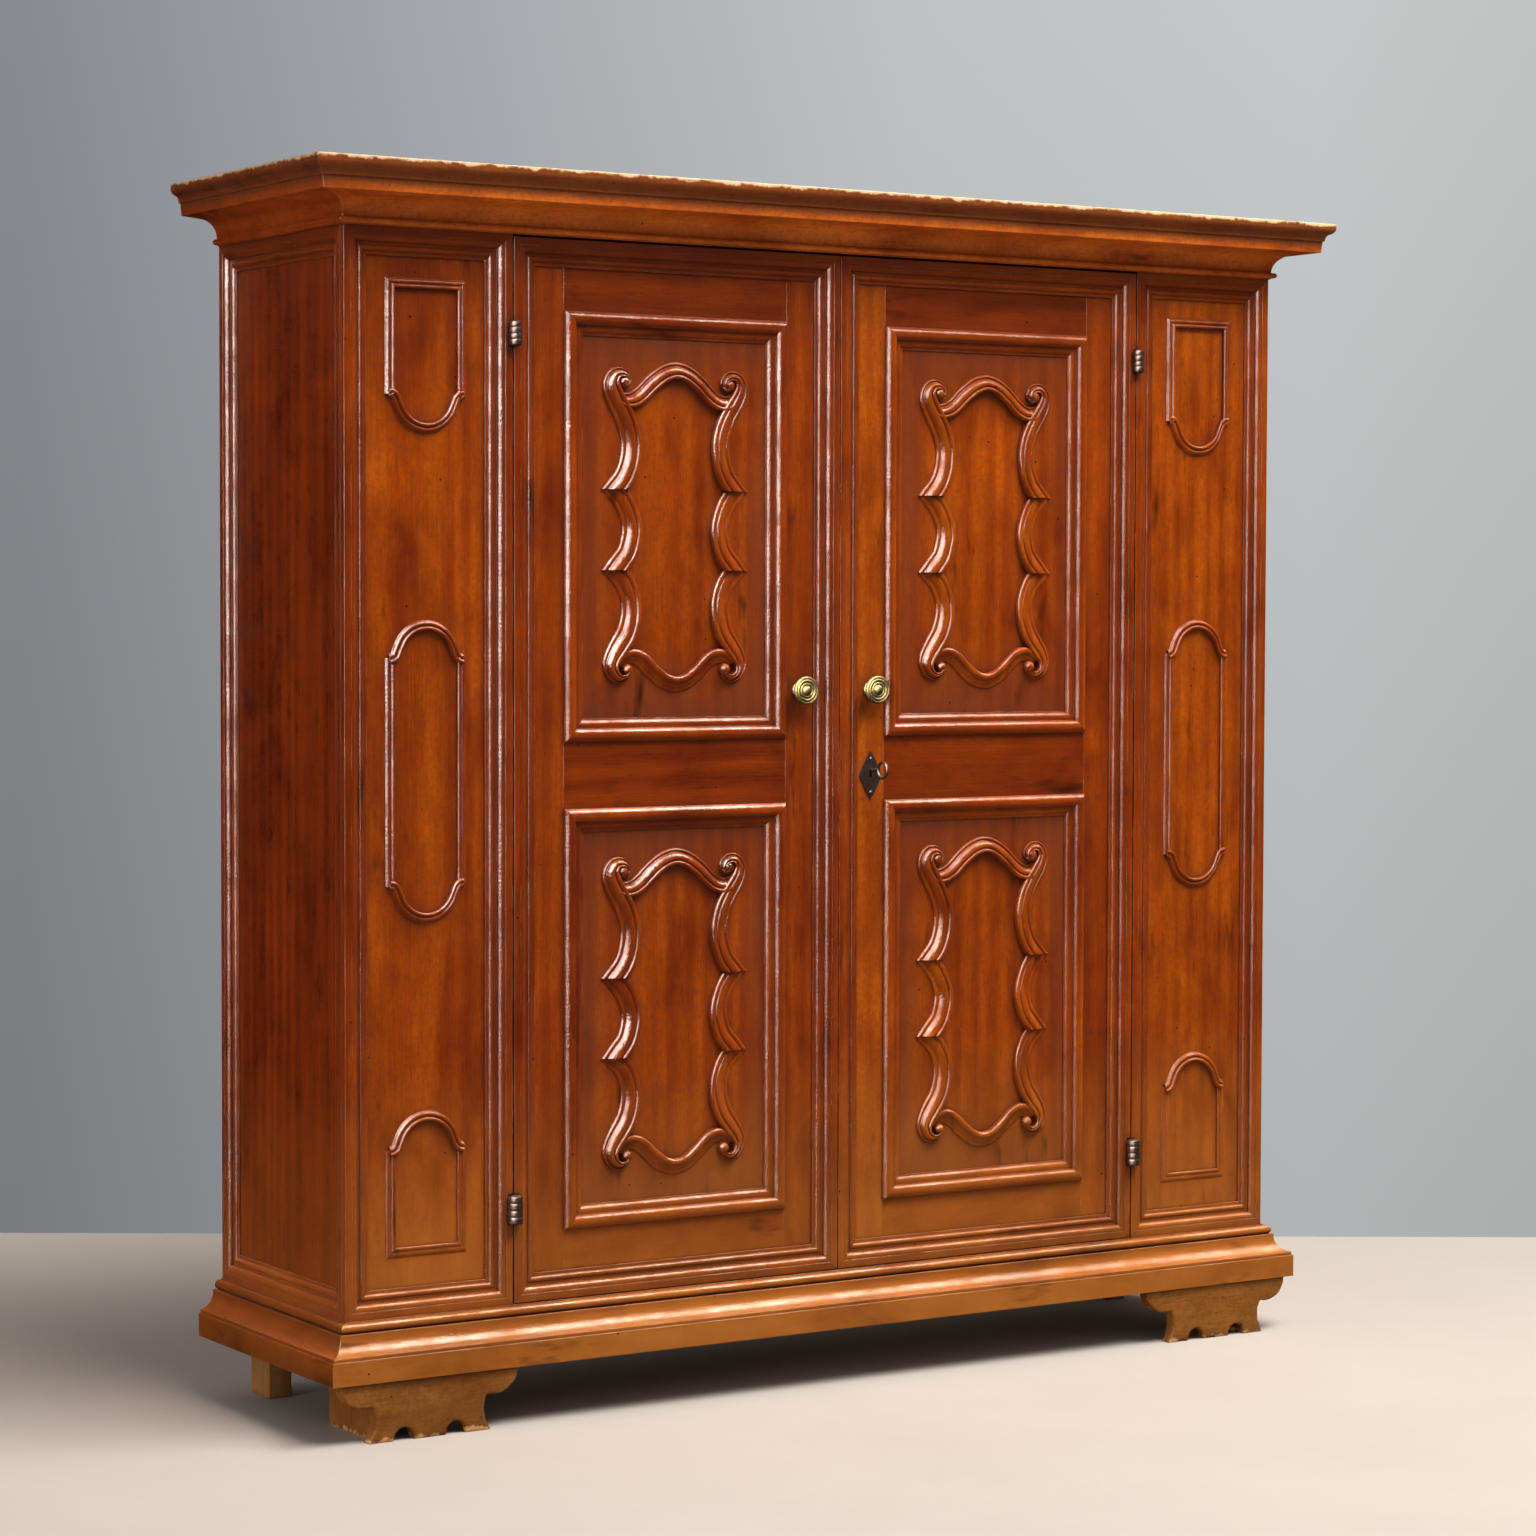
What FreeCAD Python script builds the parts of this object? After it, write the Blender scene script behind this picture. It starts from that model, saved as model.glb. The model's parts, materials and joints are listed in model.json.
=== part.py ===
import FreeCAD, Part
import math
import os
from types import SimpleNamespace

import Sketcher

# A two-door walnut armoire on bracket feet, in millimetres.
# +Z is up, the doors face -Y, and the origin lies on the floor under the middle of the whole.

doc = FreeCAD.newDocument("armoire")
sheet = doc.addObject("Spreadsheet::Sheet", "sizes")

SIZES = {
    # Case
    "front_board_width": 312,
    "door_width": 652.5,
    "case_depth": 490,
    "wall_height": 1800,
    "side_thickness": 25,
    "back_thickness": 15,
    "back_board_gap": 1,
    "floor_thickness": 25,
    "top_thickness": 22,
    "rail_thickness": 24,
    "head_rail_height": 58,
    "partition_thickness": 24,
    "shelf_thickness": 22,
    "shelf_setback": 32,
    "cleat_height": 28,
    "cleat_width": 20,
    # Feet
    "foot_height": 101,
    "foot_setback": 7,
    "foot_thickness": 25,
    "foot_centre_inset": 137,
    "foot_top_width": 328,
    "foot_waist_width": 214,
    "foot_sole_width": 228,
    "foot_band_height": 13,
    "foot_waist_height": 46,
    "foot_shoulder_height": 60,
    "foot_notch_radius": 18,
    "foot_notch_height": 4,
    "foot_notch_spacing": 96,
    "foot_block_bearing": 24,
    "foot_block_width": 45,
    "foot_return_depth": 153,
    "rear_foot_depth": 75,
    "rear_foot_setback": 39,
    # Base moulding, from the plinth up and from the wall out
    "plinth_height": 40,
    "plinth_step": 3,
    "base_fillet_height": 6,
    "base_fillet_step": 2,
    "base_cove_height": 30,
    "base_cove_reach": 22,
    "base_lip_height": 3,
    "base_lip_reach": 18,
    "base_bead_radius": 8,
    "base_bead_centre": 7,
    "base_ledge_height": 2,
    "base_ledge_reach": 3,
    "base_inset": 60,
    "bearer_width": 40,
    # Cornice moulding, from the wall up and out
    "cornice_foot_height": 2,
    "cornice_foot_reach": 3,
    "cornice_bead_radius": 5,
    "cornice_bead_centre": 7,
    "cornice_neck_height": 3,
    "cornice_neck_reach": 4,
    "cornice_cove_height": 30,
    "cornice_cove_reach": 26,
    "soffit_rise": 4,
    "soffit_reach": 40,
    "fascia_height": 21,
    "fascia_lean": 2,
    "crown_step": 3,
    "crown_hollow_height": 12,
    "crown_hollow_reach": 5,
    "crown_round_height": 10,
    "crown_round_reach": 10,
    "crown_fillet_height": 10,
    # Border moulding round the doors, the fixed front boards and the sides
    "border_height": 15,
    "border_fillet_width": 13,
    "border_fillet_drop": 1,
    "border_ovolo_width": 12,
    "border_ovolo_drop": 9,
    "border_quirk_width": 5,
    "border_quirk_drop": 1,
    "border_bead_width": 10,
    "border_bead_drop": 1,
    "border_lip_width": 6,
    # Doors
    "hinge_gap": 3,
    "meeting_gap": 2,
    "meeting_relief": 1.5,
    "door_foot_gap": 2,
    "door_head_gap": 4,
    "door_thickness": 26,
    "stop_clearance": 0.5,
    "stile_width": 103,
    "top_rail_height": 118,
    "lock_rail_height": 113,
    "bottom_rail_height": 114,
    "lower_panel_height": 719,
    "field_recess": 6,
    "panel_thickness": 14,
    "groove_depth": 12,
    "panel_play": 2,
    "tenon_thickness": 10,
    "tenon_length": 60,
    "tenon_shoulder": 20,
    "tenon_play": 2,
    # Moulding round each door panel
    "panel_moulding_height": 17,
    "panel_moulding_rise": 9,
    "panel_moulding_crest": 12,
    "panel_moulding_round": 11,
    "panel_moulding_round_drop": 8,
    "panel_moulding_quirk": 3,
    "panel_moulding_quirk_drop": 2,
    "panel_moulding_band": 11,
    "panel_moulding_band_drop": 5,
    "panel_moulding_lip": 3,
    # Carved cartouches
    "carving_side_margin": 80,
    "carving_end_margin": 92,
    "carving_lift": 7,
    "carving_band_width": 25,
    "carving_band_height": 8,
    "carving_rib_width": 12,
    "carving_rib_height": 12,
    "volute_radius": 25,
    "volute_eye_radius": 9,
    "scroll_ball_radius": 13,
    # Loop ornaments on the fixed front boards
    "loop_width": 150,
    "loop_strip_width": 17,
    "loop_height": 8,
    "loop_arc_radius": 63,
    "top_loop_drop": 81,
    "top_loop_side": 192,
    "middle_loop_lift": 4,
    "middle_loop_side": 378,
    "bottom_loop_rise": 96,
    "bottom_loop_side": 180,
    # Hinges
    "hinge_axis_out": 8,
    "upper_hinge_radius": 10,
    "lower_hinge_radius": 12,
    "upper_hinge_height": 36,
    "lower_hinge_height": 43,
    "upper_hinge_level": 162,
    "lower_hinge_level": 160,
    "hinge_pin_radius": 4,
    "hinge_pin_clearance": 0.05,
    "hinge_pin_length": 15,
    "hinge_running_gap": 0.3,
    "hinge_cap_height": 4,
    "hinge_notch_clearance": 0.8,
    "hinge_leaf_thickness": 1.6,
    # Knobs
    "knob_above_escutcheon": 85,
    "knob_radius": 25,
    "knob_length": 32,
    "knob_rose_radius": 15,
    "knob_rose_thickness": 4,
    "knob_neck_radius": 8,
    "knob_disc_thickness": 13,
    "knob_rim_thickness": 5,
    "knob_button_radius": 8,
    "knob_button_height": 3,
    "knob_shank_radius": 4,
    "knob_shank_length": 18,
    "knob_shank_clearance": 0.1,
    "knob_hole_play": 2,
    # Lock, key and escutcheon
    "lock_above_rail_foot": 54,
    "escutcheon_drop": 10,
    "escutcheon_margin": 5,
    "escutcheon_height": 86,
    "escutcheon_thickness": 2,
    "escutcheon_nail_radius": 3,
    "escutcheon_nail_inset": 13,
    "keyhole_clearance": 0.3,
    "keyhole_slot_width": 4.5,
    "key_shank_radius": 3.5,
    "key_bow_radius": 14,
    "key_bow_wire": 2.6,
    "key_bow_standoff": 40,
    "key_bit_width": 3,
    "key_bit_length": 5,
    "key_bit_reach": 13,
    "lock_case_wall": 2,
    "lock_case_depth": 20,
    "lock_case_half_height": 45,
    "lock_case_edge": 5,
    "lock_space": 3,
    "lock_bolt_thickness": 7,
    "lock_bolt_height": 22,
    "lock_bolt_length": 66,
    "lock_bolt_lift": 8,
    "lock_bolt_standoff": 2.5,
    "lock_bolt_recess": 2.5,
    "lock_bolt_throw": 16,
    "bolt_clearance": 0.4,
    # Slide bolts and staples
    "slide_bolt_width": 14,
    "slide_bolt_thickness": 7,
    "slide_bolt_length": 240,
    "slide_bolt_throw": 20,
    "slide_bolt_rest_gap": 4,
    "slide_bolt_knob_radius": 4.5,
    "slide_bolt_knob_length": 12,
    "slide_bolt_mortise_play": 2,
    "staple_wall": 4,
    "staple_height": 14,
    "staple_inset": 30,
    "keeper_spare": 2,
    "keeper_edge": 4,
}

for row, (alias, number) in enumerate(SIZES.items(), start=1):
    sheet.set(f"A{row}", alias)
    sheet.set(f"B{row}", str(number))
    sheet.setAlias(f"B{row}", alias)
doc.recompute()


class Size:
    """A length held twice: as a number, and as the expression that ties it to the sheet."""

    def __init__(self, number, text):
        self.number = number
        self.text = text

    def __add__(self, other):
        other = as_size(other)
        return Size(self.number + other.number, f"({self.text} + {other.text})")

    def __radd__(self, other):
        return as_size(other) + self

    def __sub__(self, other):
        other = as_size(other)
        return Size(self.number - other.number, f"({self.text} - {other.text})")

    def __mul__(self, factor):
        return Size(self.number * factor, f"({self.text} * {factor})")

    def __truediv__(self, divisor):
        return Size(self.number / divisor, f"({self.text} / {divisor})")

    def __neg__(self):
        return self * -1


def as_size(term):
    return term if isinstance(term, Size) else Size(term, str(term))


d = SimpleNamespace(**{alias: Size(number, "sizes." + alias) for alias, number in SIZES.items()})

# Planes that the pieces share

base_projection = d.base_lip_reach + d.base_cove_reach + d.base_fillet_step + d.plinth_step
cornice_projection = (
    d.cornice_neck_reach + d.cornice_cove_reach + d.soffit_reach + d.fascia_lean + d.crown_step
    + d.crown_hollow_reach + d.crown_round_reach
)
base_height = (
    d.plinth_height + d.base_fillet_height + d.base_cove_height + d.base_lip_height
    + d.base_bead_radius * 2 + d.base_ledge_height
)
cornice_height = (
    d.cornice_foot_height + d.cornice_bead_radius * 2 + d.cornice_neck_height + d.cornice_cove_height
    + d.soffit_rise + d.fascia_height + d.crown_hollow_height + d.crown_round_height
    + d.crown_fillet_height
)
base_top = d.foot_height + base_height
wall_top = base_top + d.wall_height
cornice_top = wall_top + cornice_height

crest = (cornice_projection - d.case_depth) / 2
rear = crest + d.case_depth
stile_face = crest + d.border_height
field_face = stile_face + d.field_recess
door_back = stile_face + d.door_thickness
stop_face = door_back + d.stop_clearance
back_face = rear - d.back_thickness

door_inner = d.meeting_gap / 2
door_outer = door_inner + d.door_width
hinge_line = door_outer + d.hinge_gap / 2
board_inner = door_outer + d.hinge_gap
half_width = board_inner + d.front_board_width
side_face = half_width - d.border_height
side_inner = side_face - d.side_thickness
door_foot = base_top + d.door_foot_gap
door_head = wall_top - d.door_head_gap
floor_top = base_top + d.floor_thickness

border_width = (
    d.border_fillet_width + d.border_ovolo_width + d.border_quirk_width + d.border_bead_width
    + d.border_lip_width
)

LEFT = -1
RIGHT = 1
SIDES = {"left": LEFT, "right": RIGHT}
nodes = []

# Helpers


def bind(item, prop, size):
    item.setExpression(prop, as_size(size).text)


def place(item, x, y, z):
    for axis, size in zip("xyz", (x, y, z)):
        bind(item, "Placement.Base." + axis, size)


def span(low, high, side=RIGHT):
    """A stretch of X on the right of the middle, or its mirror image on the left."""
    return (low, high) if side == RIGHT else (-as_size(high), -as_size(low))


def board(name, x, y, z):
    """A square-edged board between three pairs of planes."""
    piece = doc.addObject("Part::Box", name)
    for prop, (low, high) in zip(("Length", "Width", "Height"), (x, y, z)):
        bind(piece, prop, as_size(high) - low)
    place(piece, x[0], y[0], z[0])
    return piece


def rod(name, radius, length, x, y, z, along="y"):
    """A round rod that starts at a point and runs along +Y or +Z."""
    piece = doc.addObject("Part::Cylinder", name)
    bind(piece, "Radius", radius)
    bind(piece, "Height", length)
    if along == "y":
        piece.Placement.Rotation = FreeCAD.Rotation(FreeCAD.Vector(1, 0, 0), -90)
    place(piece, x, y, z)
    return piece


def fuse(name, pieces):
    whole = doc.addObject("Part::MultiFuse", name)
    whole.Shapes = pieces
    return whole


def cut(name, base, waste):
    piece = doc.addObject("Part::Cut", name)
    piece.Base = base
    piece.Tool = waste[0] if len(waste) == 1 else fuse(name + "_waste", waste)
    return piece


def group(name, pieces):
    """Separate solids that share one node."""
    whole = doc.addObject("Part::Compound", name)
    whole.Links = pieces
    return whole


def node(piece, name):
    piece.Label = name
    nodes.append(piece)
    return piece


def point(corner):
    return FreeCAD.Vector(as_size(corner[0]).number, as_size(corner[1]).number, 0)


def bowed_edge(start, end, radius):
    """An arc from start to end that turns left for a positive radius, and the ends in its own order."""
    chord = end - start
    left = FreeCAD.Vector(-chord.y, chord.x, 0).normalize()
    turn = math.copysign(1, radius)
    rise = math.sqrt(max(radius ** 2 - chord.Length ** 2 / 4, 0))
    centre = (start + end) / 2 + left * (turn * rise)
    first, last = (start, end) if turn > 0 else (end, start)
    from_angle = math.atan2(first.y - centre.y, first.x - centre.x)
    to_angle = math.atan2(last.y - centre.y, last.x - centre.x)
    if to_angle <= from_angle:
        to_angle += 2 * math.pi
    circle = Part.Circle(centre, FreeCAD.Vector(0, 0, 1), abs(radius))
    ends = (1, 2) if turn > 0 else (2, 1)
    return Part.ArcOfCircle(circle, from_angle, to_angle), ends


def draw(sketch, corners):
    """A closed loop through corners (x, y); a third value is the radius of the edge that leads there."""
    first = sketch.GeometryCount
    ends = []
    for index, corner in enumerate(corners):
        start = point(corners[index - 1])
        end = point(corner)
        if len(corner) == 2:
            sketch.addGeometry(Part.LineSegment(start, end), False)
            ends.append((1, 2))
        else:
            arc, arc_ends = bowed_edge(start, end, as_size(corner[2]).number)
            sketch.addGeometry(arc, False)
            ends.append(arc_ends)
    count = len(corners)
    for index in range(count):
        following = (index + 1) % count
        sketch.addConstraint(Sketcher.Constraint(
            "Coincident", first + index, ends[index][1], first + following, ends[following][0]))
    for index, corner in enumerate(corners):
        for kind, size in zip(("DistanceX", "DistanceY"), corner):
            size = as_size(size)
            fixed = sketch.addConstraint(Sketcher.Constraint(
                kind, -1, 1, first + index, ends[index][1], size.number))
            sketch.setExpression(f"Constraints[{fixed}]", size.text)
        if len(corner) == 3:
            radius = as_size(corner[2])
            turn = math.copysign(1, radius.number)
            fixed = sketch.addConstraint(Sketcher.Constraint("Radius", first + index, abs(radius.number)))
            sketch.setExpression(f"Constraints[{fixed}]", (radius * turn).text)


def sketch_on(body, role, name, loops):
    sketch = body.newObject("Sketcher::SketchObject", name)
    plane = next(item for item in body.Origin.OriginFeatures if item.Role == role)
    sketch.AttachmentSupport = (plane, [""])
    sketch.MapMode = "FlatFace"
    for corners in loops:
        draw(sketch, corners)
    return sketch


def padded(name, role, loops, length):
    """A body whose outline is drawn on one of its planes and padded along that plane's normal."""
    body = doc.addObject("PartDesign::Body", name)
    pad = body.newObject("PartDesign::Pad", name + "_pad")
    pad.Profile = sketch_on(body, role, name + "_outline", loops)
    bind(pad, "Length", length)
    return body


def turned(name, role, corners):
    """A body turned about the upright axis of its sketch."""
    body = doc.addObject("PartDesign::Body", name)
    sketch = sketch_on(body, role, name + "_outline", [corners])
    revolution = body.newObject("PartDesign::Revolution", name + "_turning")
    revolution.Profile = sketch
    revolution.ReferenceAxis = (sketch, ["V_Axis"])
    revolution.Angle = 360
    return body


def strip(name, profile, length, width, mitres):
    """A length of moulding along X, outer edge at Y = 0, with 45 degree mitres at the named ends."""
    body = padded(name, "YZ_Plane", [profile], length)
    corners = {
        "start": [(0, 0), (width, width), (0, width)],
        "end": [(length, 0), (length, width), (length - width, width)],
    }
    pocket = body.newObject("PartDesign::Pocket", name + "_mitre")
    pocket.Profile = sketch_on(body, "XY_Plane", name + "_waste", [corners[end] for end in mitres])
    pocket.Type = "ThroughAll"
    pocket.Reversed = True
    return body


# The way that each face of the case looks: along the face, up, and out of it
X_AXIS = FreeCAD.Vector(1, 0, 0)
Y_AXIS = FreeCAD.Vector(0, 1, 0)
Z_AXIS = FreeCAD.Vector(0, 0, 1)
FACING = {
    "front": FreeCAD.Rotation(X_AXIS, Z_AXIS, -Y_AXIS, "ZXY"),
    "left": FreeCAD.Rotation(-Y_AXIS, Z_AXIS, -X_AXIS, "ZXY"),
    "right": FreeCAD.Rotation(Y_AXIS, Z_AXIS, X_AXIS, "ZXY"),
}
QUARTER_TURN = 90


def on_face(item, facing, along, face, up):
    if facing == "front":
        place(item, along, face, up)
    elif facing == "left":
        place(item, face, -as_size(along), up)
    else:
        place(item, face, along, up)


def mitred_frame(name, facing, profile, width, along, face, up):
    """Four mitred lengths of moulding round a rectangle on one face of the case."""
    (low, high), (foot, head) = along, up
    across = as_size(high) - low
    tall = as_size(head) - foot
    lengths = []
    starts = (
        ("bottom", low, foot, across),
        ("right", high, foot, tall),
        ("top", high, head, across),
        ("left", low, head, tall),
    )
    for turns, (edge, start, level, length) in enumerate(starts):
        piece = strip(f"{name}_{edge}", profile, length, width, ("start", "end"))
        spin = FreeCAD.Rotation(Z_AXIS, QUARTER_TURN * turns)
        piece.Placement.Rotation = FACING[facing] * spin
        on_face(piece, facing, start, face, level)
        lengths.append(piece)
    return lengths


# Profiles, as (distance in from the outer edge, height)
# Radii of the rounded members, as shares of the width or height that each one spans
BEAD_BOW = 0.52
OVOLO_BOW = 0.8
HALF_ROUND_BOW = 1.001
CORNICE_COVE_BOW = 1.1
CROWN_HOLLOW_BOW = 1.2
CROWN_ROUND_BOW = 1.3
ESCUTCHEON_BOW = 2.4
FOOT_SHOULDER_BOW = 0.4
FOOT_WAIST_BOW = 1.2
BUTTON_FACE_SHARE = 0.7


def border_profile():
    ovolo_edge = d.border_fillet_width + d.border_ovolo_width
    quirk_edge = ovolo_edge + d.border_quirk_width
    bead_edge = quirk_edge + d.border_bead_width
    fillet_level = d.border_height - d.border_fillet_drop
    ovolo_level = fillet_level - d.border_ovolo_drop
    quirk_level = ovolo_level - d.border_quirk_drop
    bead_level = quirk_level - d.border_bead_drop
    return [
        (0, 0),
        (border_width, 0),
        (border_width, bead_level),
        (bead_edge, bead_level),
        (quirk_edge, quirk_level, d.border_bead_width * BEAD_BOW),
        (quirk_edge, ovolo_level),
        (ovolo_edge, ovolo_level),
        (d.border_fillet_width, fillet_level, d.border_ovolo_width * OVOLO_BOW),
        (d.border_fillet_width, d.border_height),
        (0, d.border_height),
    ]


panel_moulding_width = (
    d.panel_moulding_crest + d.panel_moulding_round + d.panel_moulding_quirk
    + d.panel_moulding_band + d.panel_moulding_lip
)


def panel_moulding_profile():
    round_edge = d.panel_moulding_crest + d.panel_moulding_round
    quirk_edge = round_edge + d.panel_moulding_quirk
    band_edge = quirk_edge + d.panel_moulding_band
    round_level = d.panel_moulding_height - d.panel_moulding_round_drop
    quirk_level = round_level - d.panel_moulding_quirk_drop
    band_level = quirk_level - d.panel_moulding_band_drop
    return [
        (0, 0),
        (panel_moulding_width, 0),
        (panel_moulding_width, band_level),
        (band_edge, band_level),
        (quirk_edge, quirk_level, d.panel_moulding_band),
        (round_edge, quirk_level),
        (round_edge, round_level),
        (d.panel_moulding_crest, d.panel_moulding_height, d.panel_moulding_round),
        (0, d.panel_moulding_height - d.panel_moulding_rise, d.panel_moulding_crest),
    ]


def base_profile():
    fillet_edge = d.plinth_step
    cove_edge = fillet_edge + d.base_fillet_step
    lip_edge = cove_edge + d.base_cove_reach
    bead_edge = base_projection - d.base_bead_centre
    ledge_edge = base_projection - d.base_ledge_reach
    cove_foot = d.plinth_height + d.base_fillet_height
    cove_head = cove_foot + d.base_cove_height
    bead_foot = cove_head + d.base_lip_height
    bead_head = bead_foot + d.base_bead_radius * 2
    inner = base_projection + d.base_inset
    return [
        (0, 0),
        (inner, 0),
        (inner, base_height),
        (ledge_edge, base_height),
        (ledge_edge, bead_head),
        (bead_edge, bead_head),
        (bead_edge, bead_foot, d.base_bead_radius * HALF_ROUND_BOW),
        (lip_edge, bead_foot),
        (lip_edge, cove_head),
        (cove_edge, cove_foot, -d.base_cove_height),
        (fillet_edge, cove_foot),
        (fillet_edge, d.plinth_height),
        (0, d.plinth_height),
    ]


def cornice_profile():
    def inward(reach):
        return cornice_projection - reach

    neck_foot = d.cornice_foot_height + d.cornice_bead_radius * 2
    cove_foot = neck_foot + d.cornice_neck_height
    cove_head = cove_foot + d.cornice_cove_height
    cove_reach = d.cornice_neck_reach + d.cornice_cove_reach
    soffit_edge = cove_reach + d.soffit_reach
    fascia_foot = cove_head + d.soffit_rise
    fascia_head = fascia_foot + d.fascia_height
    fascia_reach = soffit_edge + d.fascia_lean
    crown_foot = fascia_reach + d.crown_step
    hollow_head = fascia_head + d.crown_hollow_height
    round_head = hollow_head + d.crown_round_height
    return [
        (0, round_head),
        (inward(crown_foot + d.crown_hollow_reach), hollow_head, d.crown_round_height * CROWN_ROUND_BOW),
        (inward(crown_foot), fascia_head, -d.crown_hollow_height * CROWN_HOLLOW_BOW),
        (inward(fascia_reach), fascia_head),
        (inward(soffit_edge), fascia_foot),
        (inward(cove_reach), cove_head),
        (inward(d.cornice_neck_reach), cove_foot, -d.cornice_cove_height * CORNICE_COVE_BOW),
        (inward(d.cornice_neck_reach), neck_foot),
        (inward(d.cornice_bead_centre), neck_foot),
        (inward(d.cornice_bead_centre), d.cornice_foot_height, d.cornice_bead_radius * HALF_ROUND_BOW),
        (inward(d.cornice_foot_reach), d.cornice_foot_height),
        (inward(d.cornice_foot_reach), 0),
        (cornice_projection + d.border_height, 0),
        (cornice_projection + d.border_height, cornice_height),
        (0, cornice_height),
    ]


# Base and feet


def moulded_belt(name, profile, projection, width, level):
    """Front and two side timbers of a moulding that runs round the case, mitred at the front corners."""
    reach = half_width + projection
    front = node(strip("front_" + name, profile, reach * 2, width, ("start", "end")), "front_" + name)
    # The profile's height runs up, its inward distance runs back
    place(front, -reach, crest - projection, level)
    depth = rear - crest + projection
    right = node(strip("right_" + name, profile, depth, width, ("start",)), "right_" + name)
    right.Placement.Rotation = FreeCAD.Rotation(Z_AXIS, QUARTER_TURN)
    place(right, reach, crest - projection, level)
    left = node(strip("left_" + name, profile, depth, width, ("end",)), "left_" + name)
    left.Placement.Rotation = FreeCAD.Rotation(Z_AXIS, -QUARTER_TURN)
    place(left, -reach, rear, level)


def base_rails():
    inner = half_width - d.base_inset
    rail_front = rear - d.rail_thickness
    rail = board("base_rear_rail", span(-inner, inner), (rail_front, rear), (d.foot_height, base_top))
    half_bearer = d.bearer_width / 2
    bearer = board(
        "base_bearer", (-half_bearer, half_bearer), (crest + d.base_inset, rail_front),
        (d.foot_height, base_top))
    node(group("base_rails", [rail, bearer]), "base_rails")


def foot_outline():
    """Half of the bracket runs from the top corner through the waist to the sole, then it is mirrored."""
    top = d.foot_top_width / 2
    waist = d.foot_waist_width / 2
    sole = d.foot_sole_width / 2
    band = d.foot_height - d.foot_band_height
    shoulder_bow = (d.foot_top_width - d.foot_waist_width) * FOOT_SHOULDER_BOW
    waist_bow = d.foot_waist_height * FOOT_WAIST_BOW
    notch = d.foot_notch_spacing / 2
    notch_outer = notch + d.foot_notch_radius
    notch_inner = notch - d.foot_notch_radius
    notch_bow = -d.foot_notch_radius * HALF_ROUND_BOW
    return [
        (-top, d.foot_height),
        (-top, band),
        (-waist, d.foot_shoulder_height, shoulder_bow),
        (-sole, 0, -waist_bow),
        (-notch_outer, 0),
        (-notch_outer, d.foot_notch_height),
        (-notch_inner, d.foot_notch_height, notch_bow),
        (-notch_inner, 0),
        (notch_inner, 0),
        (notch_inner, d.foot_notch_height),
        (notch_outer, d.foot_notch_height, notch_bow),
        (notch_outer, 0),
        (sole, 0),
        (waist, d.foot_shoulder_height, -waist_bow),
        (top, band, shoulder_bow),
        (top, d.foot_height),
    ]


def feet():
    bracket_back = crest - base_projection + d.foot_setback + d.foot_thickness
    centre = half_width - d.foot_centre_inset
    # The blocks stand under the inner edge of the side base timbers
    block_outer = half_width - d.base_inset + d.foot_block_bearing
    block_inner = block_outer - d.foot_block_width
    rear_back = rear - d.rear_foot_setback
    returns = []
    blocks = []
    for name, side in SIDES.items():
        bracket = padded(f"front_{name}_foot", "XZ_Plane", [foot_outline()], d.foot_thickness)
        place(bracket, centre * side, bracket_back, 0)
        node(bracket, f"front_{name}_foot")
        returns.append(board(
            f"{name}_foot_return", span(block_inner, block_outer, side),
            (bracket_back, bracket_back + d.foot_return_depth), (0, d.foot_height)))
        blocks.append(board(
            f"{name}_rear_foot", span(block_inner, block_outer, side),
            (rear_back - d.rear_foot_depth, rear_back), (0, d.foot_height)))
    node(group("foot_returns", returns), "foot_returns")
    node(group("rear_feet", blocks), "rear_feet")


# Case

SHELF_COUNT = 3
BACK_BOARD_COUNT = 5
stile_middle = door_inner + border_width + (d.stile_width - border_width) / 2


def bolt_mortise(name, foot, head):
    """The hole that a slide bolt of the left door enters."""
    play = d.bolt_clearance
    half = d.slide_bolt_width / 2 + play
    bolt_front = door_back + play
    bolt_back = bolt_front + d.slide_bolt_thickness
    return board(name, span(stile_middle - half, stile_middle + half, LEFT),
                 (stop_face - play, bolt_back + play), (foot, head))


mortise_depth = d.slide_bolt_throw - d.slide_bolt_rest_gap + d.slide_bolt_mortise_play
head_rail_foot = wall_top - d.head_rail_height


def case_boards():
    wall = (base_top, wall_top)
    inside = (-side_inner, side_inner)
    for name, side in SIDES.items():
        node(board(f"{name}_side", span(side_inner, side_face, side), (stop_face, rear), wall),
             f"{name}_side")
        node(board(f"{name}_front_board", span(board_inner, side_face, side),
                   (stile_face, stop_face), wall), f"{name}_front_board")
    floor = board("floor_board", inside, (stop_face, back_face), (base_top, floor_top))
    node(cut("case_floor", floor, [bolt_mortise("floor_mortise", floor_top - mortise_depth, floor_top)]),
         "case_floor")
    node(board("case_top", (-side_face, side_face), (stile_face, rear),
               (wall_top, wall_top + d.top_thickness)), "case_top")
    rail = board("head_board", inside, (stop_face, stop_face + d.rail_thickness),
                 (head_rail_foot, wall_top))
    mortise = bolt_mortise("head_mortise", head_rail_foot, head_rail_foot + mortise_depth)
    node(cut("head_rail", rail, [mortise]), "head_rail")
    node(board("cornice_rear_rail", (-side_face, side_face), (rear - d.rail_thickness, rear),
               (wall_top + d.top_thickness, cornice_top)), "cornice_rear_rail")
    width = (side_inner * 2 - d.back_board_gap * (BACK_BOARD_COUNT - 1)) / BACK_BOARD_COUNT
    boards = []
    for index in range(BACK_BOARD_COUNT):
        start = -side_inner + (width + d.back_board_gap) * index
        boards.append(board(f"back_board_{index + 1}", (start, start + width), (back_face, rear), wall))
    node(group("back_boards", boards), "back_boards")


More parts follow.
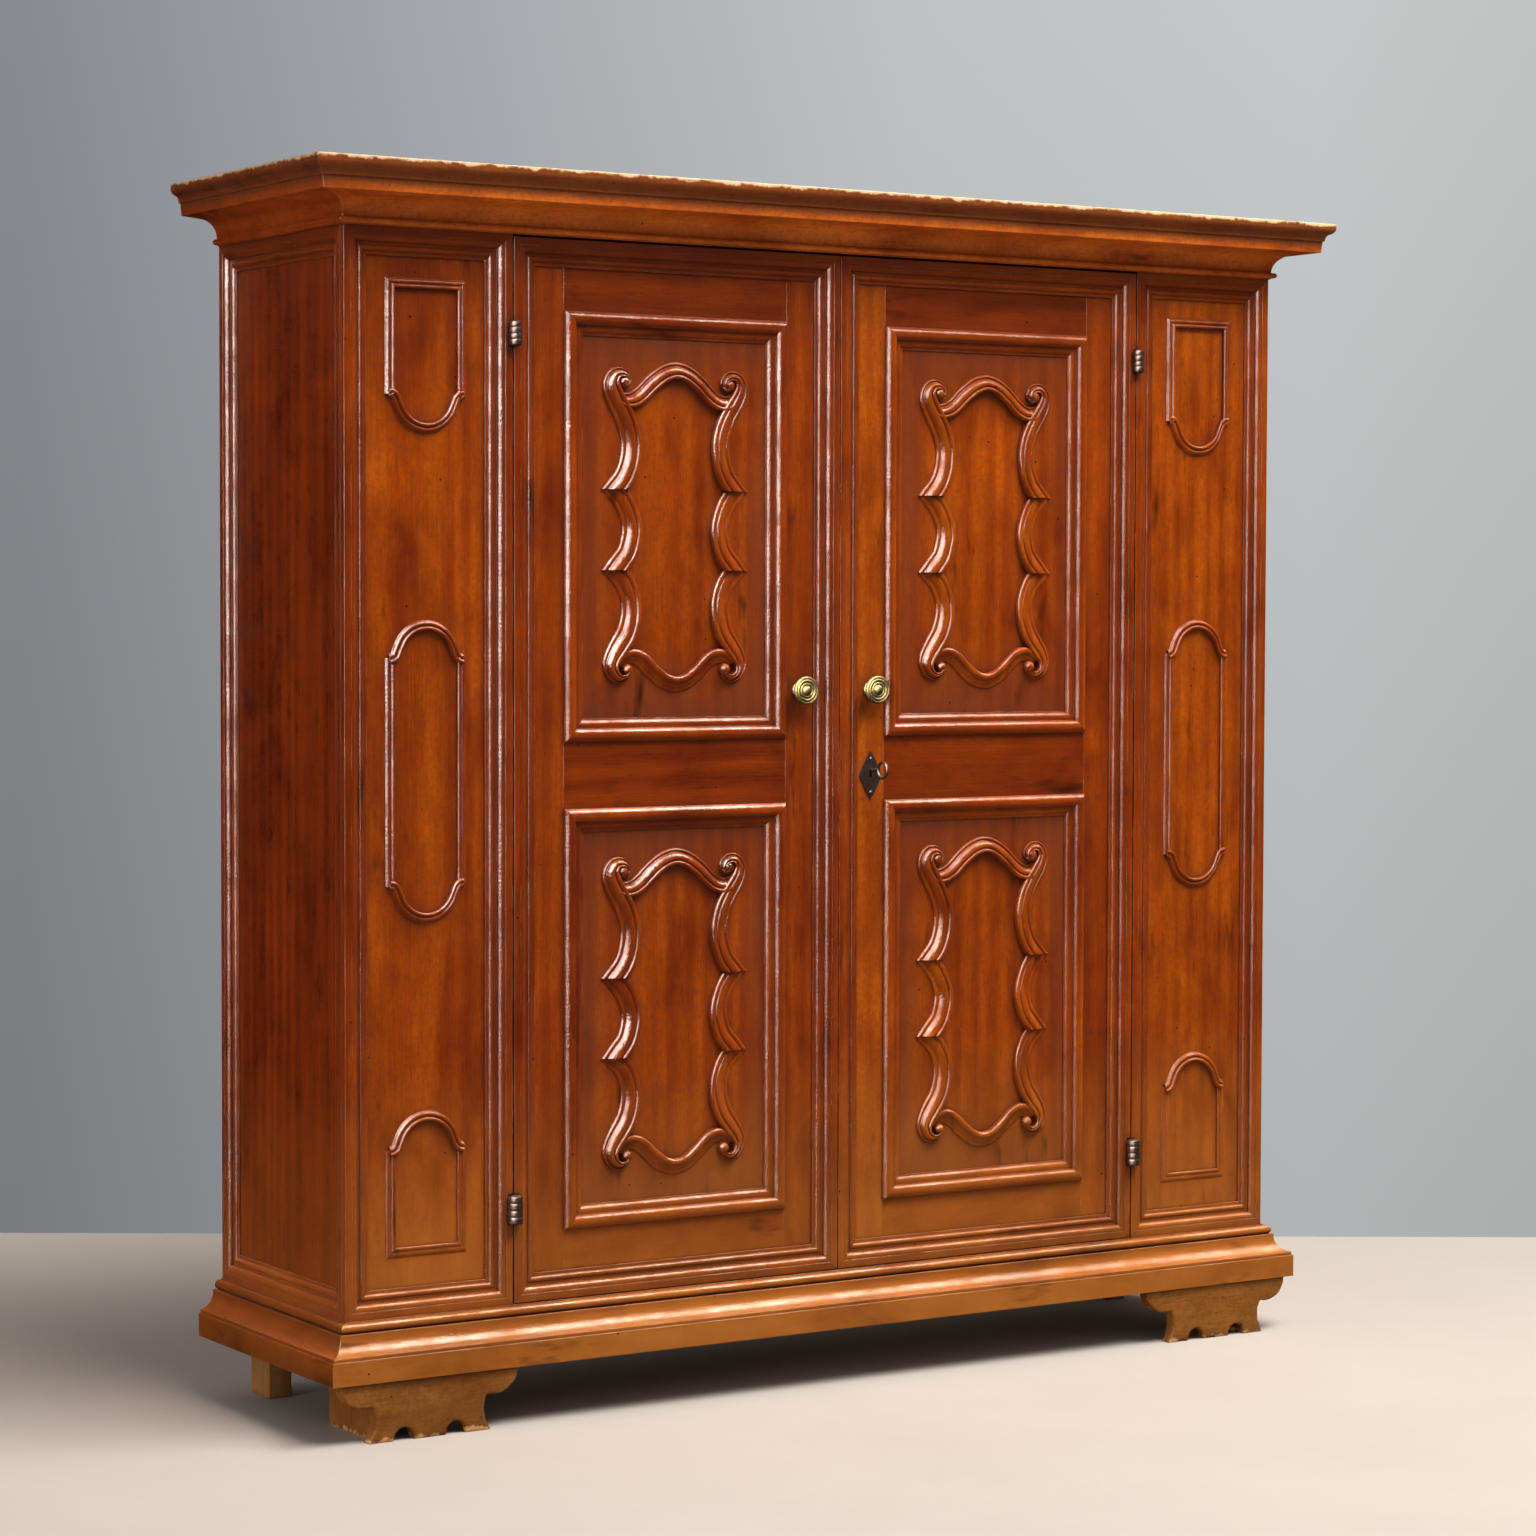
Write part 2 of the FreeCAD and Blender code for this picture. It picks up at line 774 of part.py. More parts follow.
def shelving():
    half_partition = d.partition_thickness / 2
    front = stop_face + d.shelf_setback
    depth = (front, back_face)
    node(board("partition", (-half_partition, half_partition), depth, (floor_top, wall_top)), "partition")
    shelves = []
    cleats = []
    space = (d.wall_height - d.floor_thickness - d.shelf_thickness * SHELF_COUNT) / (SHELF_COUNT + 1)
    for name, side in SIDES.items():
        for index in range(SHELF_COUNT):
            foot = floor_top + space * (index + 1) + d.shelf_thickness * index
            level = index + 1
            shelves.append(board(
                f"{name}_shelf_{level}", span(half_partition, side_inner, side), depth,
                (foot, foot + d.shelf_thickness)))
            under = (foot - d.cleat_height, foot)
            cleats.append(board(
                f"{name}_inner_cleat_{level}",
                span(half_partition, half_partition + d.cleat_width, side), depth, under))
            cleats.append(board(
                f"{name}_outer_cleat_{level}",
                span(side_inner - d.cleat_width, side_inner, side), depth, under))
    node(group("shelves", shelves), "shelves")
    node(group("shelf_cleats", cleats), "shelf_cleats")


# Hinges

hinge_axis = crest - d.hinge_axis_out
HINGES = {
    "upper": (d.upper_hinge_radius, d.upper_hinge_height, door_head - d.upper_hinge_level),
    "lower": (d.lower_hinge_radius, d.lower_hinge_height, door_foot + d.lower_hinge_level),
}


def hinge_notches(name, side):
    """The hollows that let the hinge barrels into the border mouldings."""
    notches = []
    for level, (radius, height, middle) in HINGES.items():
        tall = height / 2 + d.hinge_cap_height + d.hinge_notch_clearance
        notches.append(rod(
            f"{name}_{level}_notch", radius + d.hinge_notch_clearance, tall * 2,
            hinge_line * side, hinge_axis, middle - tall, along="z"))
    return notches


def hinge_leaf(name, side, owner, foot, head):
    """A plate in the hinge gap, flat against the edge of the board or the stile that it serves."""
    if owner == "case":
        reach = (board_inner - d.hinge_leaf_thickness, board_inner)
    else:
        reach = (door_outer, door_outer + d.hinge_leaf_thickness)
    return board(name, span(*reach, side), (hinge_axis, door_back), (foot, head))


def hinges():
    pintles = []
    for name, side in SIDES.items():
        knuckles = []
        for level, (radius, height, middle) in HINGES.items():
            half = height / 2
            cap = d.hinge_cap_height
            bore = d.hinge_pin_radius + d.hinge_pin_clearance
            pin_top = d.hinge_pin_length
            tip = d.hinge_pin_radius
            barrel = turned(f"{name}_{level}_pintle_barrel", "XZ_Plane", [
                (0, -half - cap),
                (tip, -half - cap),
                (radius, -half, radius),
                (radius, -d.hinge_running_gap),
                (d.hinge_pin_radius, -d.hinge_running_gap),
                (d.hinge_pin_radius, pin_top),
                (0, pin_top),
            ])
            place(barrel, hinge_line * side, hinge_axis, middle)
            leaf = hinge_leaf(f"{name}_{level}_case_leaf", side, "case",
                              middle - half, middle - d.hinge_leaf_thickness)
            pintles.append(fuse(f"{name}_{level}_pintle", [barrel, leaf]))
            bore_top = pin_top + d.hinge_running_gap
            barrel = turned(f"{name}_{level}_knuckle_barrel", "XZ_Plane", [
                (bore, 0),
                (radius, 0),
                (radius, half),
                (tip, half + cap, radius),
                (0, half + cap),
                (0, bore_top),
                (bore, bore_top),
            ])
            place(barrel, hinge_line * side, hinge_axis, middle)
            leaf = hinge_leaf(f"{name}_{level}_door_leaf", side, "door",
                              middle + d.hinge_leaf_thickness, middle + half)
            solid_leaf = cut(f"{name}_{level}_door_leaf_bored", leaf, [rod(
                f"{name}_{level}_leaf_bore", bore, bore_top,
                hinge_line * side, hinge_axis, middle, along="z")])
            knuckles.append(fuse(f"{name}_{level}_knuckle", [barrel, solid_leaf]))
        node(group(f"{name}_door_hinge_knuckles", knuckles), f"{name}_door_hinge_knuckles")
    node(group("hinge_pintles", pintles), "hinge_pintles")


# Border mouldings of the case, and the ornaments of the fixed front boards


def loop_outline(name, inset, centre, foot, head, ends):
    """The filled outline of a loop, drawn in by an inset: a rectangle with a round on the ends named."""
    half = d.loop_width / 2 - inset
    radius = d.loop_arc_radius - inset
    front = stile_face - d.loop_height
    depth = (front, stile_face)
    pieces = [board(f"{name}_block", (centre - half, centre + half), depth, (foot + inset, head - inset))]
    for end in ends:
        level = foot if end == "foot" else head
        pieces.append(rod(f"{name}_{end}_round", radius, d.loop_height, centre, front, level))
        if end == "foot":
            throat = (level, level + d.loop_strip_width)
        else:
            throat = (level - d.loop_strip_width, level)
        pieces.append(board(f"{name}_{end}_throat", (centre - radius, centre + radius), depth, throat))
    return fuse(name, pieces)


def loops():
    top_head = wall_top - d.top_loop_drop
    middle = (base_top + wall_top) / 2 + d.middle_loop_lift
    bottom_foot = base_top + d.bottom_loop_rise
    spans = {
        "top": (top_head - d.top_loop_side, top_head, ("foot",)),
        "middle": (middle - d.middle_loop_side / 2, middle + d.middle_loop_side / 2, ("foot", "head")),
        "bottom": (bottom_foot, bottom_foot + d.bottom_loop_side, ("head",)),
    }
    for name, side in SIDES.items():
        centre = (board_inner + half_width) / 2 * side
        strips = []
        for level, (foot, head, ends) in spans.items():
            label = f"{name}_{level}_loop"
            full = loop_outline(label + "_full", 0, centre, foot, head, ends)
            hollow = loop_outline(label + "_hollow", d.loop_strip_width, centre, foot, head, ends)
            strips.append(cut(label, full, [hollow]))
        node(group(f"{name}_loop_ornaments", strips), f"{name}_loop_ornaments")


def case_borders():
    wall = (base_top, wall_top)
    for name, side in SIDES.items():
        lengths = mitred_frame(f"{name}_front_border_length", "front", border_profile(), border_width,
                               span(board_inner, half_width, side), stile_face, wall)
        whole = group(f"{name}_front_border_frame", lengths)
        notched = cut(f"{name}_front_border", whole, hinge_notches(f"{name}_front_border", side))
        node(notched, f"{name}_front_border")
        ends = (-rear, -stile_face) if side == LEFT else (stile_face, rear)
        lengths = mitred_frame(f"{name}_side_border_length", name, border_profile(), border_width,
                               ends, side_face * side, wall)
        node(group(f"{name}_side_border", lengths), f"{name}_side_border")


# Doors

stile_inner_edge = door_inner + d.stile_width
hinge_stile_edge = door_outer - d.stile_width
bottom_rail_head = door_foot + d.bottom_rail_height
lock_rail_foot = bottom_rail_head + d.lower_panel_height
lock_rail_head = lock_rail_foot + d.lock_rail_height
top_rail_foot = door_head - d.top_rail_height
PANEL_OPENINGS = {
    "lower": (bottom_rail_head, lock_rail_foot),
    "upper": (lock_rail_head, top_rail_foot),
}
RAILS = {
    "bottom": (door_foot, bottom_rail_head),
    "lock": (lock_rail_foot, lock_rail_head),
    "top": (top_rail_foot, door_head),
}
groove = (field_face, field_face + d.panel_thickness)
tenon_front = field_face + (d.panel_thickness - d.tenon_thickness) / 2
tenon = (tenon_front, tenon_front + d.tenon_thickness)
lock_level = lock_rail_foot + d.lock_above_rail_foot
escutcheon_level = lock_level - d.escutcheon_drop
knob_level = escutcheon_level + d.escutcheon_height / 2 + d.knob_above_escutcheon + d.knob_radius


def keyhole(name, front, back):
    """A round hole for the shank with a slot below it for the bit."""
    radius = d.key_shank_radius + d.keyhole_clearance
    half_slot = d.keyhole_slot_width / 2
    depth = back - front
    slot = board(name + "_slot", (stile_middle - half_slot, stile_middle + half_slot), (front, back),
                 (lock_level - d.key_bit_reach - d.keyhole_clearance, lock_level))
    return [rod(name + "_round", radius, depth, stile_middle, front, lock_level), slot]


def door_stiles(name, side):
    upright = {
        "hinge": (hinge_stile_edge, door_outer),
        "meeting": (door_inner + d.meeting_relief, stile_inner_edge),
    }
    for stile, (low, high) in upright.items():
        label = f"{name}_door_{stile}_stile"
        blank = board(label + "_blank", span(low, high, side), (stile_face, door_back),
                      (door_foot, door_head))
        waste = []
        for panel, (foot, head) in PANEL_OPENINGS.items():
            if stile == "hinge":
                reach = (low, low + d.groove_depth)
            else:
                reach = (high - d.groove_depth, high)
            waste.append(board(f"{label}_{panel}_groove", span(*reach, side), groove,
                               (foot - d.groove_depth, head + d.groove_depth)))
        mortise_length = d.tenon_length + d.tenon_play
        for rail, (foot, head) in RAILS.items():
            if stile == "hinge":
                reach = (low, low + mortise_length)
            else:
                reach = (high - mortise_length, high)
            waste.append(board(f"{label}_{rail}_mortise", span(*reach, side), tenon,
                               (foot + d.tenon_shoulder, head - d.tenon_shoulder)))
        if stile == "meeting":
            waste.append(rod(label + "_knob_hole", d.knob_shank_radius + d.knob_shank_clearance,
                             d.knob_shank_length + d.knob_hole_play, stile_middle * side, stile_face,
                             knob_level))
        if stile == "meeting" and side == RIGHT:
            waste += keyhole(label + "_keyhole", stile_face, door_back)
        node(cut(label, blank, waste), label)


def door_rails(name, side):
    for rail, (foot, head) in RAILS.items():
        label = f"{name}_door_{rail}_rail"
        blank = board(label + "_blank", span(stile_inner_edge, hinge_stile_edge, side),
                      (stile_face, door_back), (foot, head))
        tongue = board(label + "_tenons",
                       span(stile_inner_edge - d.tenon_length, hinge_stile_edge + d.tenon_length, side),
                       tenon, (foot + d.tenon_shoulder, head - d.tenon_shoulder))
        waste = []
        across = span(stile_inner_edge, hinge_stile_edge, side)
        if rail != "bottom":
            waste.append(board(label + "_under_groove", across, groove, (foot, foot + d.groove_depth)))
        if rail != "top":
            waste.append(board(label + "_over_groove", across, groove, (head - d.groove_depth, head)))
        if rail == "lock" and side == RIGHT:
            waste += keyhole(label + "_keyhole", stile_face, door_back)
        node(cut(label, fuse(label + "_whole", [blank, tongue]), waste), label)


def door_panels(name, side):
    grip = d.groove_depth - d.panel_play
    across = span(stile_inner_edge - grip, hinge_stile_edge + grip, side)
    panels = []
    mouldings = []
    for panel, (foot, head) in PANEL_OPENINGS.items():
        panels.append(board(f"{name}_door_{panel}_panel", across, groove, (foot - grip, head + grip)))
        mouldings += mitred_frame(
            f"{name}_door_{panel}_moulding", "front", panel_moulding_profile(), panel_moulding_width,
            span(stile_inner_edge, hinge_stile_edge, side), field_face, (foot, head))
    node(group(f"{name}_door_panels", panels), f"{name}_door_panels")
    node(group(f"{name}_door_panel_mouldings", mouldings), f"{name}_door_panel_mouldings")


def door_border(name, side):
    lengths = mitred_frame(f"{name}_door_border_length", "front", border_profile(), border_width,
                           span(door_inner, door_outer, side), stile_face, (door_foot, door_head))
    whole = group(f"{name}_door_border_frame", lengths)
    notched = cut(f"{name}_door_border", whole, hinge_notches(f"{name}_door_border", side))
    node(notched, f"{name}_door_border")


# Carved cartouches: three C-shaped bands down each side, a bow above and below, scrolls at the corners.
# Each band starts at a point with a heading and runs in tangent arcs through its stops.
# Points of the right half are shares of the cartouche's half width and half height.
SIDE_BANDS = (
    ((0.90, 0.86), (-0.79, -0.61), ((0.58, 0.51), (0.86, 0.235))),
    ((0.86, 0.215), (-0.91, -0.42), ((0.57, -0.03), (0.86, -0.27))),
    ((0.86, -0.295), (-0.91, -0.42), ((0.57, -0.52), (0.80, -0.76), (0.92, -0.90), (0.84, -0.985))),
)
BOWS = (
    ((-0.70, 0.81), (1, 0), ((-0.35, 0.89), (0.35, 0.89), (0.70, 0.81))),
    ((-0.84, -0.85), (0.80, 0.60),
     ((-0.60, -0.795), (-0.31, -0.875), (0.31, -0.875), (0.60, -0.795), (0.84, -0.85))),
)
VOLUTE = (0.75, 0.90)
SCROLL_BALL = (0.70, -0.94)


def mirrored(band):
    start, heading, stops = band
    return (-start[0], start[1]), (-heading[0], heading[1]), tuple((-across, up) for across, up in stops)


def upright(across, up):
    return FreeCAD.Vector(across, 0, up)


def band_face(start, heading, stops, width):
    """The flat outline of a band of even width along tangent arcs."""
    left, right = [], []
    for stop in stops:
        chord = stop - start
        along = FreeCAD.Vector(chord).normalize()
        turn = heading.dot(along)
        middle = (start + stop) / 2 + (heading - along * turn) * (chord.Length / 2 / (1 + turn))
        leaving = along * (2 * turn) - heading
        spots = ((start, heading), (middle, along), (stop, leaving))
        for edge, shift in ((left, width / 2), (right, -width / 2)):
            edge.append([spot + upright(-way.z, way.x) * shift for spot, way in spots])
        start, heading = stop, leaving
    edges = [Part.Arc(*spots).toShape() for spots in left]
    edges.append(Part.LineSegment(left[-1][-1], right[-1][-1]).toShape())
    edges += [Part.Arc(*reversed(spots)).toShape() for spots in reversed(right)]
    edges.append(Part.LineSegment(right[0][0], left[0][0]).toShape())
    return Part.Face(Part.Wire(edges))


def disc_face(centre, radius):
    return Part.Face(Part.Wire(Part.makeCircle(radius, centre, Y_AXIS)))


def cartouche(centre, foot, head):
    """One carved piece: a broad band with a narrower rib on it, volutes above and scroll balls below."""
    half_across = (hinge_stile_edge - stile_inner_edge).number / 2 - SIZES["carving_side_margin"]
    half_up = (head - foot).number / 2 - SIZES["carving_end_margin"]
    bands = SIDE_BANDS + tuple(mirrored(band) for band in SIDE_BANDS) + BOWS
    layers = (
        (SIZES["carving_band_width"], SIZES["volute_radius"], SIZES["carving_band_height"]),
        (SIZES["carving_rib_width"], SIZES["volute_eye_radius"], SIZES["carving_rib_height"]),
    )

    def at(share):
        return upright(share[0] * half_across, share[1] * half_up)

    carved = []
    low = 0
    for width, volute_radius, high in layers:
        faces = []
        for start, heading, stops in bands:
            way = upright(*heading).normalize()
            faces.append(band_face(at(start), way, [at(stop) for stop in stops], width))
        for side in SIDES.values():
            faces.append(disc_face(at((VOLUTE[0] * side, VOLUTE[1])), volute_radius))
            faces.append(disc_face(at((SCROLL_BALL[0] * side, SCROLL_BALL[1])), SIZES["scroll_ball_radius"]))
        flat = faces[0].multiFuse(faces[1:]).removeSplitter()
        flat.translate(-Y_AXIS * low)
        carved += [face.extrude(-Y_AXIS * (high - low)) for face in flat.Faces]
        low = high
    whole = carved[0].multiFuse(carved[1:]).removeSplitter()
    middle = (foot.number + head.number) / 2 + SIZES["carving_lift"]
    whole.translate(FreeCAD.Vector(centre.number, field_face.number, middle))
    return whole.Solids


def door_carvings(name, side):
    centre = (stile_inner_edge + hinge_stile_edge) / 2 * side
    solids = []
    for foot, head in PANEL_OPENINGS.values():
        solids += cartouche(centre, foot, head)
    piece = doc.addObject("Part::Feature", f"{name}_door_carvings")
    piece.Shape = Part.makeCompound(solids)
    node(piece, f"{name}_door_carvings")


def door_knob(name, side):
    """A turned knob: a rose on the stile, a neck and a ringed disc, with a shank into the stile."""
    disc_back = -(d.knob_length - d.knob_disc_thickness)
    rim_back = disc_back - d.knob_rim_thickness
    rim_front = rim_back - d.knob_rim_thickness
    dish = -(d.knob_length - d.knob_button_height)
    ring = (d.knob_radius + d.knob_button_radius) / 2
    knob = turned(f"{name}_door_knob", "XY_Plane", [
        (0, d.knob_shank_length),
        (0, -d.knob_length),
        (d.knob_button_radius * BUTTON_FACE_SHARE, -d.knob_length),
        (d.knob_button_radius, dish),
        (ring, dish),
        (d.knob_radius, rim_front, d.knob_radius),
        (d.knob_radius, rim_back),
        (d.knob_neck_radius, disc_back),
        (d.knob_neck_radius, -d.knob_rose_thickness * 2),
        (d.knob_rose_radius, -d.knob_rose_thickness),
        (d.knob_rose_radius, 0),
        (d.knob_shank_radius, 0),
        (d.knob_shank_radius, d.knob_shank_length),
    ])
    place(knob, stile_middle * side, stile_face, knob_level)
    node(knob, f"{name}_door_knob")


# Lock, key and bolts


def escutcheon():
    flat = d.stile_width - border_width
    half = flat / 2 - d.escutcheon_margin
    tall = d.escutcheon_height / 2
    bow = d.escutcheon_height * ESCUTCHEON_BOW
    plate = padded("escutcheon_plate", "XZ_Plane", [[
        (half, 0, bow),
        (0, tall, bow),
        (-half, 0, bow),
        (0, -tall, bow),
    ]], d.escutcheon_thickness)
    place(plate, stile_middle, stile_face, escutcheon_level)
    pierced = cut("escutcheon_pierced", plate,
                  keyhole("escutcheon_keyhole", stile_face - d.escutcheon_thickness, stile_face))
    nails = []
    for end in (LEFT, RIGHT):
        head = doc.addObject("Part::Sphere", "escutcheon_nail")
        bind(head, "Radius", d.escutcheon_nail_radius)
        head.Angle1 = 0
        head.Placement.Rotation = FreeCAD.Rotation(X_AXIS, QUARTER_TURN)
        place(head, stile_middle, stile_face - d.escutcheon_thickness,
              escutcheon_level + (tall - d.escutcheon_nail_inset) * end)
        nails.append(head)
    node(group("escutcheon", [pierced] + nails), "escutcheon")


bit_front = door_back + d.lock_bolt_standoff + d.lock_bolt_thickness + d.lock_bolt_recess / 2
lock_bolt_foot = lock_level + d.lock_bolt_lift
lock_bolt_front = door_back + d.lock_bolt_standoff


def lock_case():
    wall = d.lock_case_wall
    low = door_inner + d.lock_case_edge
    high = stile_middle + d.key_bit_reach + d.key_shank_radius + d.lock_space + wall
    back = door_back + d.lock_case_depth
    tall = d.lock_case_half_height
    shell = board("lock_shell", (low, high), (door_back, back), (lock_level - tall, lock_level + tall))
    space = board("lock_hollow", (low + wall, high - wall), (door_back, back - wall),
                  (lock_level - tall + wall, lock_level + tall - wall))
    play = d.bolt_clearance
    window = board("lock_window", (low, low + wall),
                   (lock_bolt_front - play, lock_bolt_front + d.lock_bolt_thickness + play),
                   (lock_bolt_foot - play, lock_bolt_foot + d.lock_bolt_height + play))
    node(cut("lock_case", shell, [space, window]), "lock_case")


def lock_bolt():
    tip = door_inner + d.lock_bolt_recess
    node(board("lock_bolt", (tip, tip + d.lock_bolt_length),
               (lock_bolt_front, lock_bolt_front + d.lock_bolt_thickness),
               (lock_bolt_foot, lock_bolt_foot + d.lock_bolt_height)), "lock_bolt")


def key():
    bow_centre = stile_face - d.key_bow_standoff
    bow = doc.addObject("Part::Torus", "key_bow")
    bind(bow, "Radius1", d.key_bow_radius)
    bind(bow, "Radius2", d.key_bow_wire)
    bow.Placement.Rotation = FreeCAD.Rotation(Y_AXIS, QUARTER_TURN)
    place(bow, stile_middle, bow_centre, lock_level)
    shank_front = bow_centre + d.key_bow_radius
    bit_back = bit_front + d.key_bit_length
    shank_length = bit_back - shank_front
    shank = rod("key_shank", d.key_shank_radius, shank_length, stile_middle, shank_front, lock_level)
    half_bit = d.key_bit_width / 2
    bit = board("key_bit", (stile_middle - half_bit, stile_middle + half_bit), (bit_front, bit_back),
                (lock_level - d.key_bit_reach, lock_level))
    node(fuse("key", [bow, shank, bit]), "key")


def staple(name, x, y, z, channel_x, channel_y, channel_z):
    """An iron strap bent over a sliding bar, flat on the back of the door."""
    channel = board(name + "_channel", channel_x, channel_y, channel_z)
    return cut(name, board(name + "_strap", x, y, z), [channel])


def slide_bolts_and_staples():
    play = d.bolt_clearance
    half = d.slide_bolt_width / 2
    front = door_back + play
    back = front + d.slide_bolt_thickness
    upper_head = head_rail_foot - d.slide_bolt_rest_gap
    lower_foot = floor_top + d.slide_bolt_rest_gap
    bars = {
        "upper": (upper_head - d.slide_bolt_length, upper_head),
        "lower": (lower_foot, lower_foot + d.slide_bolt_length),
    }
    outer = half + play + d.staple_wall
    staples = []
    for name, (foot, head) in bars.items():
        bar = board(f"{name}_bolt_bar", span(stile_middle - half, stile_middle + half, LEFT), (front, back),
                    (foot, head))
        grip_length = d.slide_bolt_thickness + d.slide_bolt_knob_length
        grip = rod(f"{name}_bolt_grip", d.slide_bolt_knob_radius, grip_length, -stile_middle, front,
                   (foot + head) / 2)
        node(fuse(f"{name}_bolt", [bar, grip]), f"{name}_bolt")
        for end, middle in (("foot", foot + d.staple_inset), ("head", head - d.staple_inset)):
            level = (middle - d.staple_height / 2, middle + d.staple_height / 2)
            staples.append(staple(
                f"{name}_bolt_{end}_staple", span(stile_middle - outer, stile_middle + outer, LEFT),
                (door_back, back + play + d.staple_wall), level,
                span(stile_middle - half - play, stile_middle + half + play, LEFT),
                (door_back, back + play), level))
    keeper_start = door_inner + d.keeper_edge
    keeper = span(keeper_start, keeper_start + d.lock_bolt_throw + d.keeper_spare, LEFT)
    keeper_back = lock_bolt_front + d.lock_bolt_thickness + play
    bolt_span = (lock_bolt_foot - play, lock_bolt_foot + d.lock_bolt_height + play)
    staples.append(staple(
        "lock_keeper", keeper, (door_back, keeper_back + d.staple_wall),
        (bolt_span[0] - d.staple_wall, bolt_span[1] + d.staple_wall),
        keeper, (door_back, keeper_back), bolt_span))
    node(group("left_door_staples", staples), "left_door_staples")


# Assembly

base_width = base_projection + d.base_inset
cornice_width = cornice_projection + d.border_height
moulded_belt("base", base_profile(), base_projection, base_width, d.foot_height)
base_rails()
feet()
case_boards()
shelving()
case_borders()
loops()
moulded_belt("cornice", cornice_profile(), cornice_projection, cornice_width, wall_top)
hinges()
for name, side in SIDES.items():
    door_stiles(name, side)
    door_rails(name, side)
    door_panels(name, side)
    door_border(name, side)
    door_carvings(name, side)
    door_knob(name, side)
escutcheon()
lock_case()
lock_bolt()
key()
slide_bolts_and_staples()
doc.recompute()

failed = [item.Name for item in doc.Objects if "Invalid" in item.State or "Error" in item.State]
failed += [item.Label for item in nodes if item.Shape.isNull() or not item.Shape.isValid()]
if failed:
    raise RuntimeError("These pieces failed: " + ", ".join(failed))

os.makedirs("parts", exist_ok=True)
for item in nodes:
    item.Shape.exportStep(f"parts/{item.Label}.step")
print(len(nodes), "nodes,", sum(len(item.Shape.Solids) for item in nodes), "solids")
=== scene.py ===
# %% [markdown]
# # A walnut armoire
# The cupboard is a case of boards with two framed doors, hand-made and French polished long ago.
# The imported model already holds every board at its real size. This lesson gives the boards their
# grain and polish, carves what is carved, and lights the whole as in a studio.

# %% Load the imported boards
import json
import math
import random

import bpy
import numpy as np
from mathutils import Matrix, Vector, noise


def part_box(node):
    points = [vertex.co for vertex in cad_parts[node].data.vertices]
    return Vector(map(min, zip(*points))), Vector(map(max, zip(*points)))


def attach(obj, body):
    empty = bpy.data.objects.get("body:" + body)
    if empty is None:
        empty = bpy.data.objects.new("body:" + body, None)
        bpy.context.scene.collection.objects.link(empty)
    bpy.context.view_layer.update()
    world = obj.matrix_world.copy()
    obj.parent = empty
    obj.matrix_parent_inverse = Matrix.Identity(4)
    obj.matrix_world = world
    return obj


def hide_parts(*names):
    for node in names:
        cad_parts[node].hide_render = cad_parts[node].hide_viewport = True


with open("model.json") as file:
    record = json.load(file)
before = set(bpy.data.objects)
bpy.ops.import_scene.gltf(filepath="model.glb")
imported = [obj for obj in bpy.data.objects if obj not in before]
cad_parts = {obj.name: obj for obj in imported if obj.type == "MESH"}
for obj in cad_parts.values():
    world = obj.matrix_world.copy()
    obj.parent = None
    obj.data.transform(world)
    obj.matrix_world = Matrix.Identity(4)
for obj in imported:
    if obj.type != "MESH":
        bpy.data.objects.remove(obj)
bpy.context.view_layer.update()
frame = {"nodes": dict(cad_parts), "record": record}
MM = 0.001
BODY = {node: body for body, nodes in frame["record"]["behaviour"]["bodies"].items() for node in nodes}
SLOT = {row["node"]: row["material_slot"] for row in frame["record"]["subparts"]}

# %% [markdown]
# ## The camera
# A long lens some seven metres away, a little above the middle of the doors, looks at the left front
# corner. The place and the tilt were worked out from the straight edges of the real cupboard.

# %% Camera
EYE = Vector((-3.7376, -5.8816, 1.3848))
YAW, PITCH, ROLL = 0.5633, 0.0431, 0.0028
LENS_MM = 90.1
SENSOR_MM = 36

forward = Vector((math.sin(YAW) * math.cos(PITCH), math.cos(YAW) * math.cos(PITCH), -math.sin(PITCH)))
level = Vector((math.cos(YAW), -math.sin(YAW), 0))
right = level * math.cos(ROLL) + level.cross(forward) * math.sin(ROLL)
up = right.cross(forward)
camera = bpy.data.objects.new("camera", bpy.data.cameras.new("camera"))
camera.data.lens = LENS_MM
camera.data.sensor_width = SENSOR_MM
camera.matrix_world = Matrix((right, up, -forward)).transposed().to_4x4()
camera.location = EYE
bpy.context.scene.collection.objects.link(camera)
bpy.context.scene.camera = camera
print("camera", round(EYE.length, 2), "m from the cupboard")

# %% [markdown]
# ## One way to add a shader node
# Every finish below is a small network of nodes. One helper adds a node, gives it its settings and
# joins its inputs, so that a finish reads as a list of what is done to the surface.


# %% Helper for nodes, and colours from hex
def linear(code):
    """A colour as screens show it, #rrggbb, turned into the linear light that shaders work with."""
    shares = [int(code[i:i + 2], 16) / 255 for i in (1, 3, 5)]
    return tuple(s / 12.92 if s <= 0.04045 else ((s + 0.055) / 1.055) ** 2.4 for s in shares) + (1.0,)


def add_node(tree, kind, inputs=None, stops=None, **settings):
    """Adds one node. Inputs are values or the sockets that feed them; stops fill a colour ramp."""
    node = tree.nodes.new("ShaderNode" + kind)
    for name, value in settings.items():
        setattr(node, name, value)
    for name, value in (inputs or {}).items():
        if isinstance(value, bpy.types.NodeSocket):
            tree.links.new(value, node.inputs[name])
        else:
            node.inputs[name].default_value = value
    for index, (place, code) in enumerate(stops or []):
        ramp = node.color_ramp.elements
        stop = ramp[index] if index < len(ramp) else ramp.new(place)
        stop.position = place
        stop.color = linear(code)
    return node


